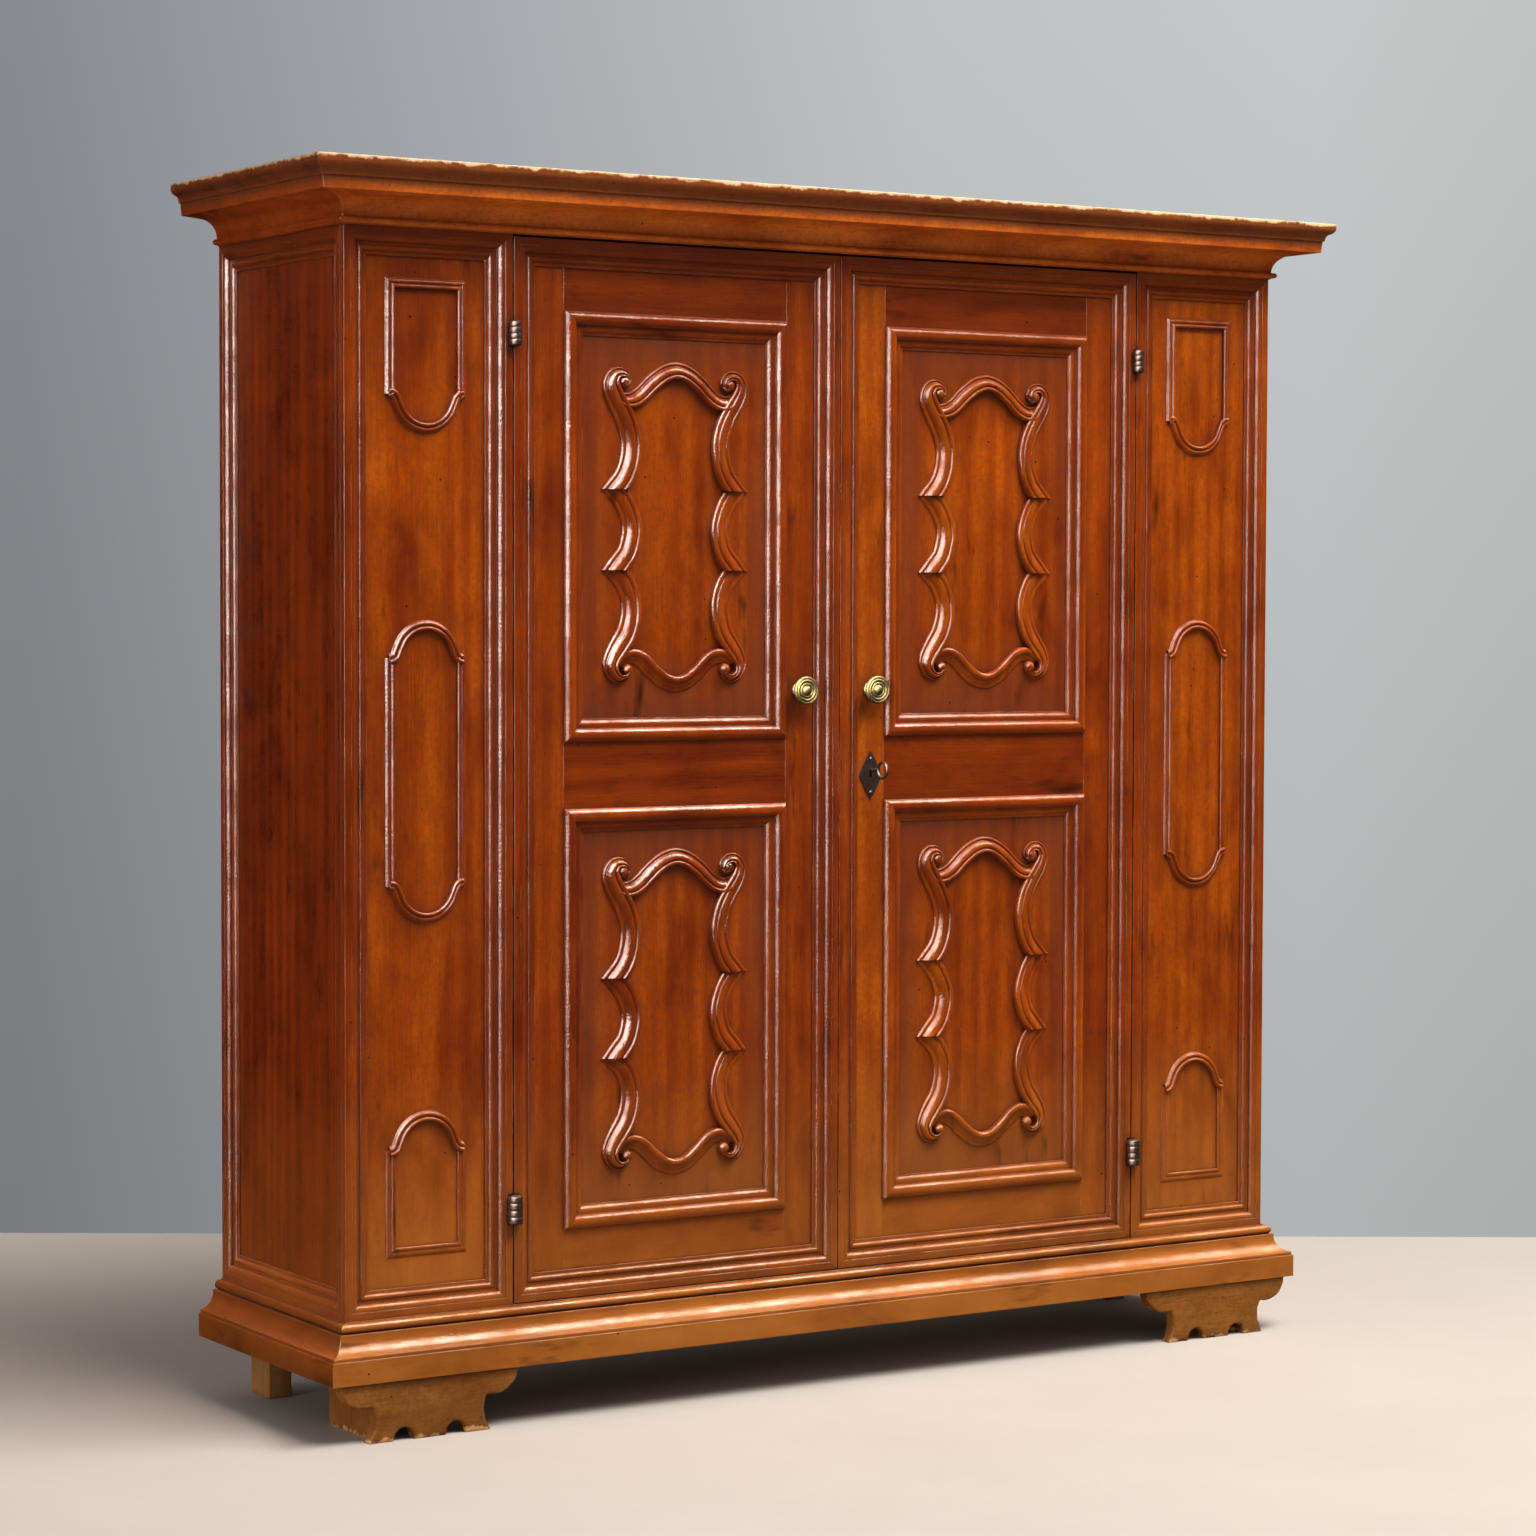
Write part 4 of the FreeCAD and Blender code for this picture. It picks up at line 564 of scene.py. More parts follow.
# %% [markdown]
# ## Brass and iron
# The knobs are turned brass, gone dull and greenish in the grooves. The hinges, lock and bolts are
# forged iron, blackened by fire and handling, uneven from the hammer. Metals keep the default IOR.

# %% Metals
METAL_DIRT_REACH_M = 0.008


def metal_finish(name, bright, dull, grit_mm, roughness, dent_mm, metallic=1.0):
    """A metal that is bright where it is rubbed and dull where it is sheltered or blotched."""
    material, tree = new_material(name)
    place = add_node(tree, "TexCoord").outputs["Object"]
    cloud = add_node(tree, "TexNoise", {
        "Vector": place, "Scale": per_metre(grit_mm), "Detail": 5.0, "Roughness": 0.65})
    shelter = add_node(tree, "AmbientOcclusion", {"Distance": METAL_DIRT_REACH_M}, samples=6)
    sheltered = add_node(tree, "MapRange", {
        "Value": shelter.outputs["AO"], "From Min": 0.95, "From Max": 0.45, "To Min": 0.0, "To Max": 0.5})
    dullness = add_node(tree, "MapRange", {
        "Value": cloud.outputs["Fac"], "From Min": 0.40, "From Max": 0.68, "To Min": 0.0, "To Max": 0.75})
    both = add_node(tree, "Math", {
        0: dullness.outputs[0], 1: sheltered.outputs[0]}, operation="ADD", use_clamp=True)
    colour = add_node(tree, "Mix", {0: both.outputs[0], 6: linear(bright), 7: linear(dull)}, data_type="RGBA")
    rough = add_node(tree, "MapRange", {
        "Value": both.outputs[0], "To Min": roughness[0], "To Max": roughness[1]})
    bump = add_node(tree, "Bump", {"Height": cloud.outputs["Fac"], "Strength": 0.5, "Distance": dent_mm * MM})
    shader = add_node(tree, "BsdfPrincipled", {
        "Base Color": colour.outputs[2], "Metallic": metallic, "Roughness": rough.outputs[0],
        "Normal": bump.outputs[0]})
    add_node(tree, "OutputMaterial", {"Surface": shader.outputs[0]})
    return material


brass = metal_finish(
    "brass_turned_aged", "#6c6242", "#3f3926", grit_mm=9, roughness=(0.46, 0.64), dent_mm=0.15)
# The black scale on forged iron is no bare metal: it scatters part of the light
iron = metal_finish(
    "iron_forged_black", "#40342f", "#1e1714", grit_mm=6, roughness=(0.28, 0.52), dent_mm=0.4, metallic=0.6)
FINISH = {"walnut": walnut, "worn_walnut": worn_walnut, "softwood": softwood, "brass": brass, "iron": iron}
OWN_FINISH = {"_door_panels": panel_walnut, "_cornice": painted_light_cornice_walnut, "_base": base_walnut}
print("finishes:", brass.name, iron.name)

# %% [markdown]
# ## Boards with their own grain
# A joiner cuts each board so that the grain runs along it, and no two boards match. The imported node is
# copied board by board. Each copy gets the "wood" attribute, measured along and across that board from
# its own random spot in the tree, and a "tone", because one board is a shade darker than the next.
# The four lengths of a mitred frame touch at the mitres, so they are told apart by the nearest outer edge.

# %% Split a node into boards
WELD = 1e-5


def triangles(node):
    """The corners of a node's triangles, as an array of (triangle, corner, axis)."""
    mesh = frame["nodes"][node].data
    mesh.calc_loop_triangles()
    points = np.empty(len(mesh.vertices) * 3)
    mesh.vertices.foreach_get("co", points)
    index = np.empty(len(mesh.loop_triangles) * 3, dtype=np.int64)
    mesh.loop_triangles.foreach_get("vertices", index)
    return points.reshape(-1, 3)[index.reshape(-1, 3)]


def weld(corners):
    """Shared points and the triangles that use them."""
    flat = corners.reshape(-1, 3)
    _, first, index = np.unique(np.round(flat / WELD).astype(np.int64), axis=0, return_index=True,
                                return_inverse=True)
    return flat[first], index.reshape(-1, 3)


def by_solid(corners):
    """A label for each triangle that is the same for all triangles of one board."""
    points, index = weld(corners)
    label = np.arange(len(points))
    while True:
        lowest = label[index].min(axis=1)
        renewed = label.copy()
        for corner in range(3):
            np.minimum.at(renewed, index[:, corner], lowest)
        if np.array_equal(renewed, label):
            return label[index[:, 0]]
        label = renewed


def by_mitre(corners, frames):
    """Labels for mitred frames: which frame, and which of its four edges lies nearest."""
    middle = corners.mean(axis=1)
    label = np.zeros(len(corners), dtype=np.int64)
    for number, (low, high, across) in enumerate(frames):
        inside = np.all((middle >= np.array(low) - WELD) & (middle <= np.array(high) + WELD), axis=1)
        gaps = np.stack([middle[:, across] - low[across], high[across] - middle[:, across],
                         middle[:, 2] - low[2], high[2] - middle[:, 2]], axis=1)
        label[inside] = number * 4 + gaps[inside].argmin(axis=1)
    return label


print("the left door's border has", len(triangles("left_door_border")), "triangles")

# %% [markdown]
# A mesh that keeps smooth curves smooth and arrises sharp needs one angle: faces that meet at less than
# it are shaded as one curve. Each piece gets its finish as it is made. A piece that stands for an
# imported node then goes through the same last step, which hangs it on that node's body and hides the node.

# %% Make pieces
SMOOTH_ANGLE = math.radians(34)


def mesh_piece(name, points, faces, material, wood=None, tone=None, angle=SMOOTH_ANGLE):
    """An object from points and faces, with its finish, its grain coordinates and its tone."""
    mesh = bpy.data.meshes.new(name)
    mesh.from_pydata([tuple(point) for point in points], [], [tuple(face) for face in faces])
    if wood is not None:
        mesh.attributes.new("wood", "FLOAT_VECTOR", "POINT").data.foreach_set("vector", np.ravel(wood))
        mesh.attributes.new("tone", "FLOAT", "POINT").data.foreach_set("value", np.ravel(tone))
    mesh.shade_smooth()
    mesh.set_sharp_from_angle(angle=angle)
    mesh.materials.append(material)
    piece = bpy.data.objects.new(name, mesh)
    bpy.context.scene.collection.objects.link(piece)
    return piece


def stand_for(piece, node):
    """The piece rides with the node's body and is shown in its place."""
    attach(piece, BODY[node])
    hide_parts(node)
    return piece


def grain_space(points, along, chance):
    """Coordinates in metres along and across the grain, from a random spot in the tree."""
    others = [axis for axis in range(3) if axis != along]
    local = points[:, [along] + others] - points[:, [along] + others].mean(axis=0)
    pith = (chance.uniform(-4, 4), chance.choice((-1, 1)) * chance.uniform(0.03, 0.16),
            chance.uniform(0.02, 0.12))
    return local + np.array(pith)


print("curves are smooth where faces meet at under", round(math.degrees(SMOOTH_ANGLE)), "degrees")

# %% [markdown]
# Most boards get a random tone. Some are plainly darker or lighter than their neighbours, and these are
# listed by name. A tone below 0 is darker, and one above 0 is lighter.

# %% Copy a node board by board
TONE_SPREAD = 0.06
TONE = {
    "left_door_lock_rail": -0.18, "right_door_lock_rail": -0.08, "left_door_top_rail": -0.17,
    "right_door_top_rail": -0.14, "right_door_meeting_stile": 0.17, "right_front_board": 0.11,
    "left_door_meeting_stile": 0.0, "left_door_hinge_stile": -0.02, "left_side": -0.21,
    # front_cornice has a high tone that is painted light: it lightens the cove, which lies in shade under the
    # lamp above
    "left_door_panels": 0.02, "right_door_panels": 0.04, "front_cornice": 0.36, "left_cornice": -0.02,
    "left_base": -0.2, "front_base": 0.05, "left_front_border": -0.08, "right_front_border": 0.0,
    "left_side_border": -0.11, "left_door_border": -0.08, "right_door_border": -0.02,
    "left_door_panel_mouldings": -0.06, "right_door_panel_mouldings": 0.03, "left_door_carvings": -0.02,
    "right_door_carvings": 0.08, "left_loop_ornaments": -0.05, "right_loop_ornaments": 0.06,
}


def boards(node, along=None, frames=None, name_end="boards"):
    """A copy of a node in which every board has its own grain."""
    corners = triangles(node)
    labels = by_mitre(corners, frames) if frames else by_solid(corners)
    points, faces, wood, tone = [], [], [], []
    count = 0
    for label in np.unique(labels):
        chance = random.Random(f"{node} {label}")
        own, index = weld(corners[labels == label])
        axis = along
        if frames:
            axis = 2 if label % 4 < 2 else frames[label // 4][2]
        elif axis is None:
            axis = int(np.ptp(own, axis=0).argmax())
        points.append(own)
        faces.append(index + count)
        wood.append(grain_space(own, axis, chance))
        tone.append(np.full(len(own), TONE.get(node, chance.uniform(-TONE_SPREAD, TONE_SPREAD))))
        count += len(own)
    finish = next((own for end, own in OWN_FINISH.items() if node.endswith(end)), FINISH[SLOT[node]])
    piece = mesh_piece(f"{node}_{name_end}", np.concatenate(points), np.concatenate(faces), finish,
                       np.concatenate(wood), np.concatenate(tone))
    return stand_for(piece, node)


print(len(TONE), "nodes have a tone of their own")

# %% [markdown]
# ## The case and the doors
# Uprights have upright grain, rails and mouldings have it lengthwise, and a shelf has it from side to
# side. The longest side of a board gives this by itself. The frames of moulding are listed with the
# rectangle that each one fills.

# %% Dress the boards
ACROSS_X, ACROSS_Y = 0, 1
FRAMES = {
    "left_front_border": ACROSS_X, "right_front_border": ACROSS_X, "left_side_border": ACROSS_Y,
    "right_side_border": ACROSS_Y, "left_door_border": ACROSS_X, "right_door_border": ACROSS_X,
}
PANEL_MOULDINGS = ("left_door_panel_mouldings", "right_door_panel_mouldings")
CARVED = ("left_door_carvings", "right_door_carvings", "left_loop_ornaments", "right_loop_ornaments")
FEET = ("front_left_foot", "front_right_foot", "foot_returns", "rear_feet")

dressed = []
for node, across in FRAMES.items():
    low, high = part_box(node)
    dressed.append(boards(node, frames=[(low, high, across)]))
for node in PANEL_MOULDINGS:
    low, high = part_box(node)
    door = node.split("_")[0]
    rail_low, rail_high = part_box(f"{door}_door_lock_rail")
    middle = (rail_low.z + rail_high.z) / 2
    lower = (low, Vector((high.x, high.y, rail_low.z + (middle - rail_low.z) / 2)), ACROSS_X)
    upper = (Vector((low.x, low.y, rail_high.z - (rail_high.z - middle) / 2)), high, ACROSS_X)
    dressed.append(boards(node, frames=[lower, upper]))
made_apart = (*FRAMES, *PANEL_MOULDINGS, *CARVED, *FEET)
for node in frame["nodes"]:
    if SLOT[node] in ("walnut", "softwood") and node not in made_apart:
        dressed.append(boards(node))
print(len(dressed), "nodes dressed as boards")

# %% [markdown]
# Locks, bolts and plates are already the right shape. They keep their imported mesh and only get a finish.

# %% Finish the metal fittings
fittings = [node for node in frame["nodes"] if SLOT[node] in ("brass", "iron")]
for node in fittings:
    frame["nodes"][node].data.materials.clear()
    frame["nodes"][node].data.materials.append(FINISH[SLOT[node]])
print(len(fittings), "metal fittings")

# %% [markdown]
# ## Sweeping a carver's profile
# The cartouches and loops are strips of moulding that bend. A strip is drawn as a line on the panel and
# a profile across it. At each step along the line the profile is set down square to it, wider or
# taller where the carver cut it so, and the steps are joined into one closed skin.

# %% Sweep
STEPS_BETWEEN_STOPS = 24
FLATTEST_SLOPE = 0.2


def smooth_line(stops, step=0.003):
    """Even steps along a Catmull-Rom curve through the stops, which may carry a width as a third number."""
    stops = np.array(stops, dtype=float)
    ends = np.concatenate([[2 * stops[0] - stops[1]], stops, [2 * stops[-1] - stops[-2]]])
    fine = []
    for before, start, end, after in zip(ends, ends[1:], ends[2:], ends[3:]):
        for t in np.linspace(0, 1, STEPS_BETWEEN_STOPS, endpoint=False):
            twice = (2 * start + (end - before) * t + (2 * before - 5 * start + 4 * end - after) * t ** 2
                     + (3 * start - before - 3 * end + after) * t ** 3)
            fine.append(0.5 * twice)
    fine = np.array(fine + [stops[-1]])
    run = np.concatenate([[0], np.cumsum(np.linalg.norm(np.diff(fine[:, :2], axis=0), axis=1))])
    even = np.linspace(0, run[-1], max(4, int(run[-1] / step)))
    return np.stack([np.interp(even, run, column) for column in fine.T], axis=1)


def sweep(line, profile, width, height, cut_high=None, cut_low=None):
    """A closed strip: line is (u, v) on the panel, the profile is (share across, share of the height).
    The right-hand side of the way along the line is the profile's start. Ends can be cut level."""
    way = np.gradient(line, axis=0)
    way /= np.linalg.norm(way, axis=1)[:, None]
    left = np.stack([-way[:, 1], way[:, 0]], axis=1)
    width = np.broadcast_to(width, len(line))
    height = np.broadcast_to(height, len(line))
    shares = np.array(profile)
    points = np.empty((len(line), len(shares), 3))
    flat = line[:, None, :] + left[:, None, :] * (shares[None, :, 0] * width[:, None])[:, :, None]
    for limit, beyond in ((cut_high, np.greater), (cut_low, np.less)):
        if limit is not None:
            over = beyond(flat[:, :, 1], limit)
            slope = np.broadcast_to(way[:, None, :], flat.shape)
            steep = np.abs(slope[:, :, 1]) >= FLATTEST_SLOPE
            slide = (limit - flat[:, :, 1]) / np.where(steep, slope[:, :, 1], FLATTEST_SLOPE)
            flat = np.where(over[:, :, None], flat + slope * slide[:, :, None], flat)
            flat[:, :, 1] = np.where(over, limit, flat[:, :, 1])
    points[:, :, :2] = flat
    points[:, :, 2] = shares[None, :, 1] * height[:, None]
    ring = len(shares)
    faces = []
    for step in range(len(line) - 1):
        for side in range(ring):
            a, b = step * ring + side, step * ring + (side + 1) % ring
            faces.append((a, b, b + ring, a + ring))
    faces.append(tuple(range(ring - 1, -1, -1)))
    last = (len(line) - 1) * ring
    faces.append(tuple(range(last, last + ring)))
    return points.reshape(-1, 3), faces


print("curves are drawn with", STEPS_BETWEEN_STOPS, "steps between two stops")

# %% [markdown]
# A carving is a few such strips, joined. One half is drawn and the other mirrored, and a dome makes the
# eye of a scroll.


# %% Join, mirror and dome
def gather(parts):
    """Joins (points, faces) lists into one."""
    points, faces = [], []
    count = 0
    for own, index in parts:
        points.append(own)
        faces += [tuple(corner + count for corner in face) for face in index]
        count += len(own)
    return np.concatenate(points), faces


def mirror(part):
    """The same part on the other side of the middle."""
    points, faces = part
    return points * np.array((-1, 1, 1)), [tuple(reversed(face)) for face in faces]


def dome(centre, radius, rise, rings=6, sides=20):
    """A low dome on the panel, for the eye of a scroll."""
    points = [(centre[0], centre[1], rise)]
    for ring in range(1, rings + 1):
        tilt = ring / rings * math.pi / 2
        for side in range(sides):
            turn = side / sides * 2 * math.pi
            points.append((centre[0] + radius * math.sin(tilt) * math.cos(turn),
                           centre[1] + radius * math.sin(tilt) * math.sin(turn), rise * math.cos(tilt)))
    faces = [(0, 1 + side, 1 + (side + 1) % sides) for side in range(sides)]
    for ring in range(rings - 1):
        a = 1 + ring * sides
        for side in range(sides):
            after = (side + 1) % sides
            faces.append((a + side, a + sides + side, a + sides + after, a + after))
    last = 1 + (rings - 1) * sides
    faces.append(tuple(range(last + sides - 1, last - 1, -1)))
    return np.array(points), faces


print("a dome has", len(dome((0, 0), 1, 1)[1]), "faces")

# %% [markdown]
# ## The carved cartouches
# Each panel bears a frame of carved scrolls. Down each side run three C-shaped bands. A band is deep at
# its inner edge, a plain bead, and falls outwards in reeds. It rises towards its lower end, which is
# cut level, so that the next band comes out from under a small ledge. A bow with the same reeds joins
# the volutes at the top, a plain round bow joins the two curls at the bottom. Points are in
# millimetres from the middle of the cartouche, for the right half.

# %% Profiles and lines of the carving
REEDED = [
    (-0.50, 0.0), (-0.50, 0.70), (-0.48, 0.86), (-0.43, 0.97), (-0.37, 1.0), (-0.31, 0.96), (-0.27, 0.86),
    (-0.255, 0.74), (-0.24, 0.68), (-0.22, 0.74), (-0.17, 0.87), (-0.08, 0.90), (0.02, 0.84), (0.11, 0.71),
    (0.18, 0.55), (0.22, 0.40), (0.25, 0.28), (0.28, 0.26), (0.32, 0.36), (0.38, 0.40), (0.43, 0.36),
    (0.47, 0.24), (0.50, 0.10), (0.50, 0.0)]
ROUNDED = [
    (-0.50, 0.0), (-0.50, 0.55), (-0.48, 0.74), (-0.42, 0.92), (-0.32, 1.0), (-0.20, 0.97), (-0.10, 0.82),
    (-0.04, 0.62), (-0.01, 0.50), (0.03, 0.48), (0.12, 0.46), (0.22, 0.38), (0.27, 0.27), (0.31, 0.27),
    (0.38, 0.26), (0.45, 0.16), (0.50, 0.04), (0.50, 0.0)]
BAND_RISE_MM = 13
EYE_MM = (105, 243)
BALL_MM = (98, -248)
LEDGES_MM = (60, -78)
LEDGE_STEP_MM = 0.3
EYE_SIZE_MM, BALL_SIZE_MM = (13, 15), (11, 14)
CARVED_ANGLE = math.radians(50)

# Each stop is across, up and the width of the strip there
UPPER_BAND = (
    (106, 237, 7), (99, 237, 8), (94, 245, 10), (98, 254, 13), (109, 259.5, 17), (122, 257, 21),
    (130, 245, 27), (129, 230, 32), (121, 213, 35), (109, 194, 36), (98, 172, 37), (91, 148, 37),
    (90, 130, 37), (94, 106, 37), (104, 82, 37), (122, 60, 38), (134, 47, 38))
MIDDLE_BAND = (
    (134, 74, 37), (122, 60, 37), (103, 36, 37), (92, 12, 37), (88, -6, 37), (90, -24, 37), (98, -48, 37),
    (114, -68, 38), (134, -92, 38))
LOWER_BAND = (
    (134, -65, 37), (122, -78, 37), (103, -98, 37), (92, -122, 37), (89, -142, 37), (91, -162, 37),
    (99, -186, 37), (113, -207, 36), (125, -224, 32), (131, -240, 28), (126, -256, 21), (113, -264, 15),
    (101, -261, 10), (95, -254, 7))
TOP_BOW = ((-126, 240, 16), (-119, 225, 20), (-105, 214, 25), (-88, 214, 28), (-70, 224, 29), (-48, 244, 29),
           (-24, 260, 29), (0, 266, 29))
BOTTOM_BOW = ((0, -274, 28), (-24, -268, 28), (-46, -252, 28), (-66, -234, 28), (-84, -226, 27),
              (-100, -230, 24), (-112, -240, 20))
print("the upper band has", len(UPPER_BAND), "stops")

# %% [markdown]
# Now the bands are swept and put on the panels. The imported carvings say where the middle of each
# cartouche is.


# %% Carve the cartouches
def half_to_whole(half):
    """A line that starts or ends on the middle, carried on to the other side."""
    other = [(-across, height, width) for across, height, width in reversed(half)]
    return list(half) + other[1:] if half[-1][0] == 0 else other[:-1] + list(half)


def strip(stops, profile, rise, **cuts):
    """A swept strip from stops in millimetres; rise gives heights, as shares, from its start to its end."""
    line = smooth_line(np.array(stops) * MM)
    shares = np.interp(np.linspace(0, 1, len(line)), *zip(*rise))
    cuts = {name: level * MM for name, level in cuts.items()}
    return sweep(line[:, :2], profile, line[:, 2], BAND_RISE_MM * MM * shares, **cuts)


def side_scrolls():
    """The right half of a cartouche without its bows. An upper band starts at the eye of its volute."""
    rising = ((0, 0.34), (0.12, 0.5), (0.5, 0.88), (0.8, 1.0), (1, 1.05))
    return [
        strip(UPPER_BAND, REEDED, ((0, 1.1), (0.3, 1.1), (0.42, 0.92), (0.55, 0.86), (0.8, 1.0), (1, 1.05)),
              cut_low=LEDGES_MM[0]),
        strip(MIDDLE_BAND, REEDED, rising, cut_high=LEDGES_MM[0] - LEDGE_STEP_MM, cut_low=LEDGES_MM[1]),
        strip(LOWER_BAND, REEDED, rising, cut_high=LEDGES_MM[1] - LEDGE_STEP_MM),
        dome(np.array(EYE_MM) * MM, EYE_SIZE_MM[0] * MM, EYE_SIZE_MM[1] * MM),
        dome(np.array(BALL_MM) * MM, BALL_SIZE_MM[0] * MM, BALL_SIZE_MM[1] * MM)]


def cartouche():
    """A whole cartouche, made of its right half, that half mirrored, and the two bows."""
    right_half = side_scrolls()
    top_rise = ((0, 0.6), (0.12, 0.9), (0.5, 1.0), (0.88, 0.9), (1, 0.6))
    bottom_rise = ((0, 0.5), (0.12, 0.9), (0.5, 1.0), (0.88, 0.9), (1, 0.5))
    top = strip(half_to_whole(TOP_BOW), REEDED, top_rise)
    bottom = strip(half_to_whole(BOTTOM_BOW), ROUNDED, bottom_rise)
    return gather(right_half + [mirror(part) for part in right_half] + [top, bottom])


def on_front(part, centre_x, face_y, centre_z):
    """From the panel's own (across, up, out) to the cupboard's frame, where out is towards -Y."""
    points, faces = part
    placed = np.stack([points[:, 0] + centre_x, face_y - points[:, 2], points[:, 1] + centre_z], axis=1)
    return placed, [tuple(reversed(face)) for face in faces]


for node in CARVED[:2]:
    low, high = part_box(node)
    corners = triangles(node)
    labels = by_solid(corners)
    drawn = cartouche()
    both = []
    for label in np.unique(labels):
        heights = corners[labels == label][:, :, 2]
        both.append(on_front(drawn, (low.x + high.x) / 2, high.y, (heights.min() + heights.max()) / 2))
    points, faces = gather(both)
    wood = grain_space(points, 2, random.Random(node))
    tone = np.full(len(points), TONE[node])
    piece = mesh_piece(f"{node}_scrolls", points, faces, walnut, wood, tone, CARVED_ANGLE)
    stand_for(piece, node)
    print(piece.name, len(points), "points,", len(both), "cartouches")

# %% [markdown]
# ## The loops on the fixed boards
# Beside the doors, each fixed board has three loops of applied moulding: straight sides with a round
# end, whose feet kick outwards where the round begins. The strip is a bead on the inside and a lower
# bead outside it.

# %% Strips of a loop
STRIP_MM, ARCH_RISE_MM = 17, 9
STRIP_ANGLE = math.radians(40)
# The lowest loops are rubbed nearly flat along their straight sides
STRIP_RISES_MM = (4.0, 6.0, 8.0)
KICK_MM = ((-14, -1), (-8, 0), (-3, 4), (-0.8, 9))
TWO_BEADS = [
    (-0.5, 0.0), (-0.5, 0.62), (-0.47, 0.84), (-0.40, 0.96), (-0.31, 1.0), (-0.22, 0.95), (-0.15, 0.80),
    (-0.11, 0.62), (-0.07, 0.50), (-0.03, 0.58), (0.04, 0.70), (0.14, 0.74), (0.25, 0.68), (0.34, 0.54),
    (0.40, 0.38), (0.44, 0.24), (0.5, 0.12), (0.5, 0.0)]
LOOP_HALF_MM = 75
ROUND_RADIUS_MM = 63
ARCH_DEGREES, ARCH_STOPS = (160, 20), 15


def straight_strip(start, end, mitre_start, mitre_end, rise_mm):
    """A straight run of the strip whose ends are cut level, or mitred towards its right-hand side."""
    start, end = np.array(start, dtype=float), np.array(end, dtype=float)
    points, faces = sweep(np.array([start, (start + end) / 2, end]), TWO_BEADS, STRIP_MM * MM, rise_mm * MM)
    way = (end - start) / np.linalg.norm(end - start)
    rings = points.reshape(3, len(TWO_BEADS), 3)
    offset = np.array([share for share, _ in TWO_BEADS]) * STRIP_MM * MM
    rings[0, :, :2] += way * (offset * -mitre_start)[:, None]
    rings[2, :, :2] += way * (offset * mitre_end)[:, None]
    return rings.reshape(-1, 3), faces


def round_end(level, upward):
    """Half a circle of the strip, whose feet kick outwards over the ends of the straight strips."""
    reach = (ROUND_RADIUS_MM - STRIP_MM / 2) * MM
    turn = np.radians(np.linspace(*ARCH_DEGREES, ARCH_STOPS))
    arch = np.stack([reach * np.cos(turn), reach * np.sin(turn)], axis=1)
    left_foot = np.array(KICK_MM) * MM - (reach, 0)
    right_foot = left_foot[::-1] * (-1, 1)
    line = smooth_line(np.concatenate([left_foot, arch, right_foot]))
    line[:, 1] = level + line[:, 1] * (1 if upward else -1)
    profile = TWO_BEADS if upward else [(-across, rise) for across, rise in reversed(TWO_BEADS)]
    return sweep(line, profile, STRIP_MM * MM, ARCH_RISE_MM * MM)


print("a round end has", len(round_end(0, True)[1]), "faces")

# %% [markdown]
# A loop has two straight sides. Each of its ends is either round or closed by a mitred strip. The lowest
# loop is round at its head, the highest at its foot, and the middle one at both.


# %% Loops
def loop(foot, head, ends, rise_mm):
    """One loop, from the levels of its straight part, the ends that are round and the rise of its strips."""
    half = (LOOP_HALF_MM - STRIP_MM / 2) * MM
    inset = STRIP_MM / 2 * MM
    low = foot if "foot" in ends else foot + inset
    high = head if "head" in ends else head - inset
    mitre_low, mitre_high = (0 if "foot" in ends else 1), (0 if "head" in ends else 1)
    # The strip runs clockwise, so that the inside of the loop is on its right
    parts = [straight_strip((-half, low), (-half, high), mitre_low, mitre_high, rise_mm),
             straight_strip((half, high), (half, low), mitre_high, mitre_low, rise_mm)]
    if "head" in ends:
        parts.append(round_end(head, True))
    else:
        parts.append(straight_strip((-half, high), (half, high), 1, 1, rise_mm))
    if "foot" in ends:
        parts.append(round_end(foot, False))
    else:
        parts.append(straight_strip((half, low), (-half, low), 1, 1, rise_mm))
    return gather(parts)


for node in CARVED[2:]:
    corners = triangles(node)
    labels = by_solid(corners)
    face_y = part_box(node)[1].y
    parts = []
    solids = [corners[labels == label].reshape(-1, 3) for label in np.unique(labels)]
    solids.sort(key=lambda solid: solid[:, 2].mean())
    reach = ROUND_RADIUS_MM * MM
    for solid, ends, rise_mm in zip(solids, (("head",), ("foot", "head"), ("foot",)), STRIP_RISES_MM):
        low, high = solid[:, 2].min(), solid[:, 2].max()
        foot = low + reach if "foot" in ends else low
        head = high - reach if "head" in ends else high
        centre = (solid[:, 0].min() + solid[:, 0].max()) / 2
        parts.append(on_front(loop(foot, head, ends, rise_mm), centre, face_y, 0))
    points, faces = gather(parts)
    wood = grain_space(points, 2, random.Random(node))
    tone = np.full(len(points), TONE[node])
    piece = mesh_piece(f"{node}_strips", points, faces, walnut, wood, tone, STRIP_ANGLE)
    stand_for(piece, node)
    print(piece.name, len(points), "points")

# %% [markdown]
# ## Turned knobs and forged hinges
# A brass knob is turned on a lathe: a rose against the door, a thin neck and a ringed disc with a button
# in its middle. A hinge barrel is rolled from iron round its pin. Its knuckles bulge a little, with a
# groove where they meet, and the ends are hammered round. A line of radii and heights, spun about an
# axis, gives both.

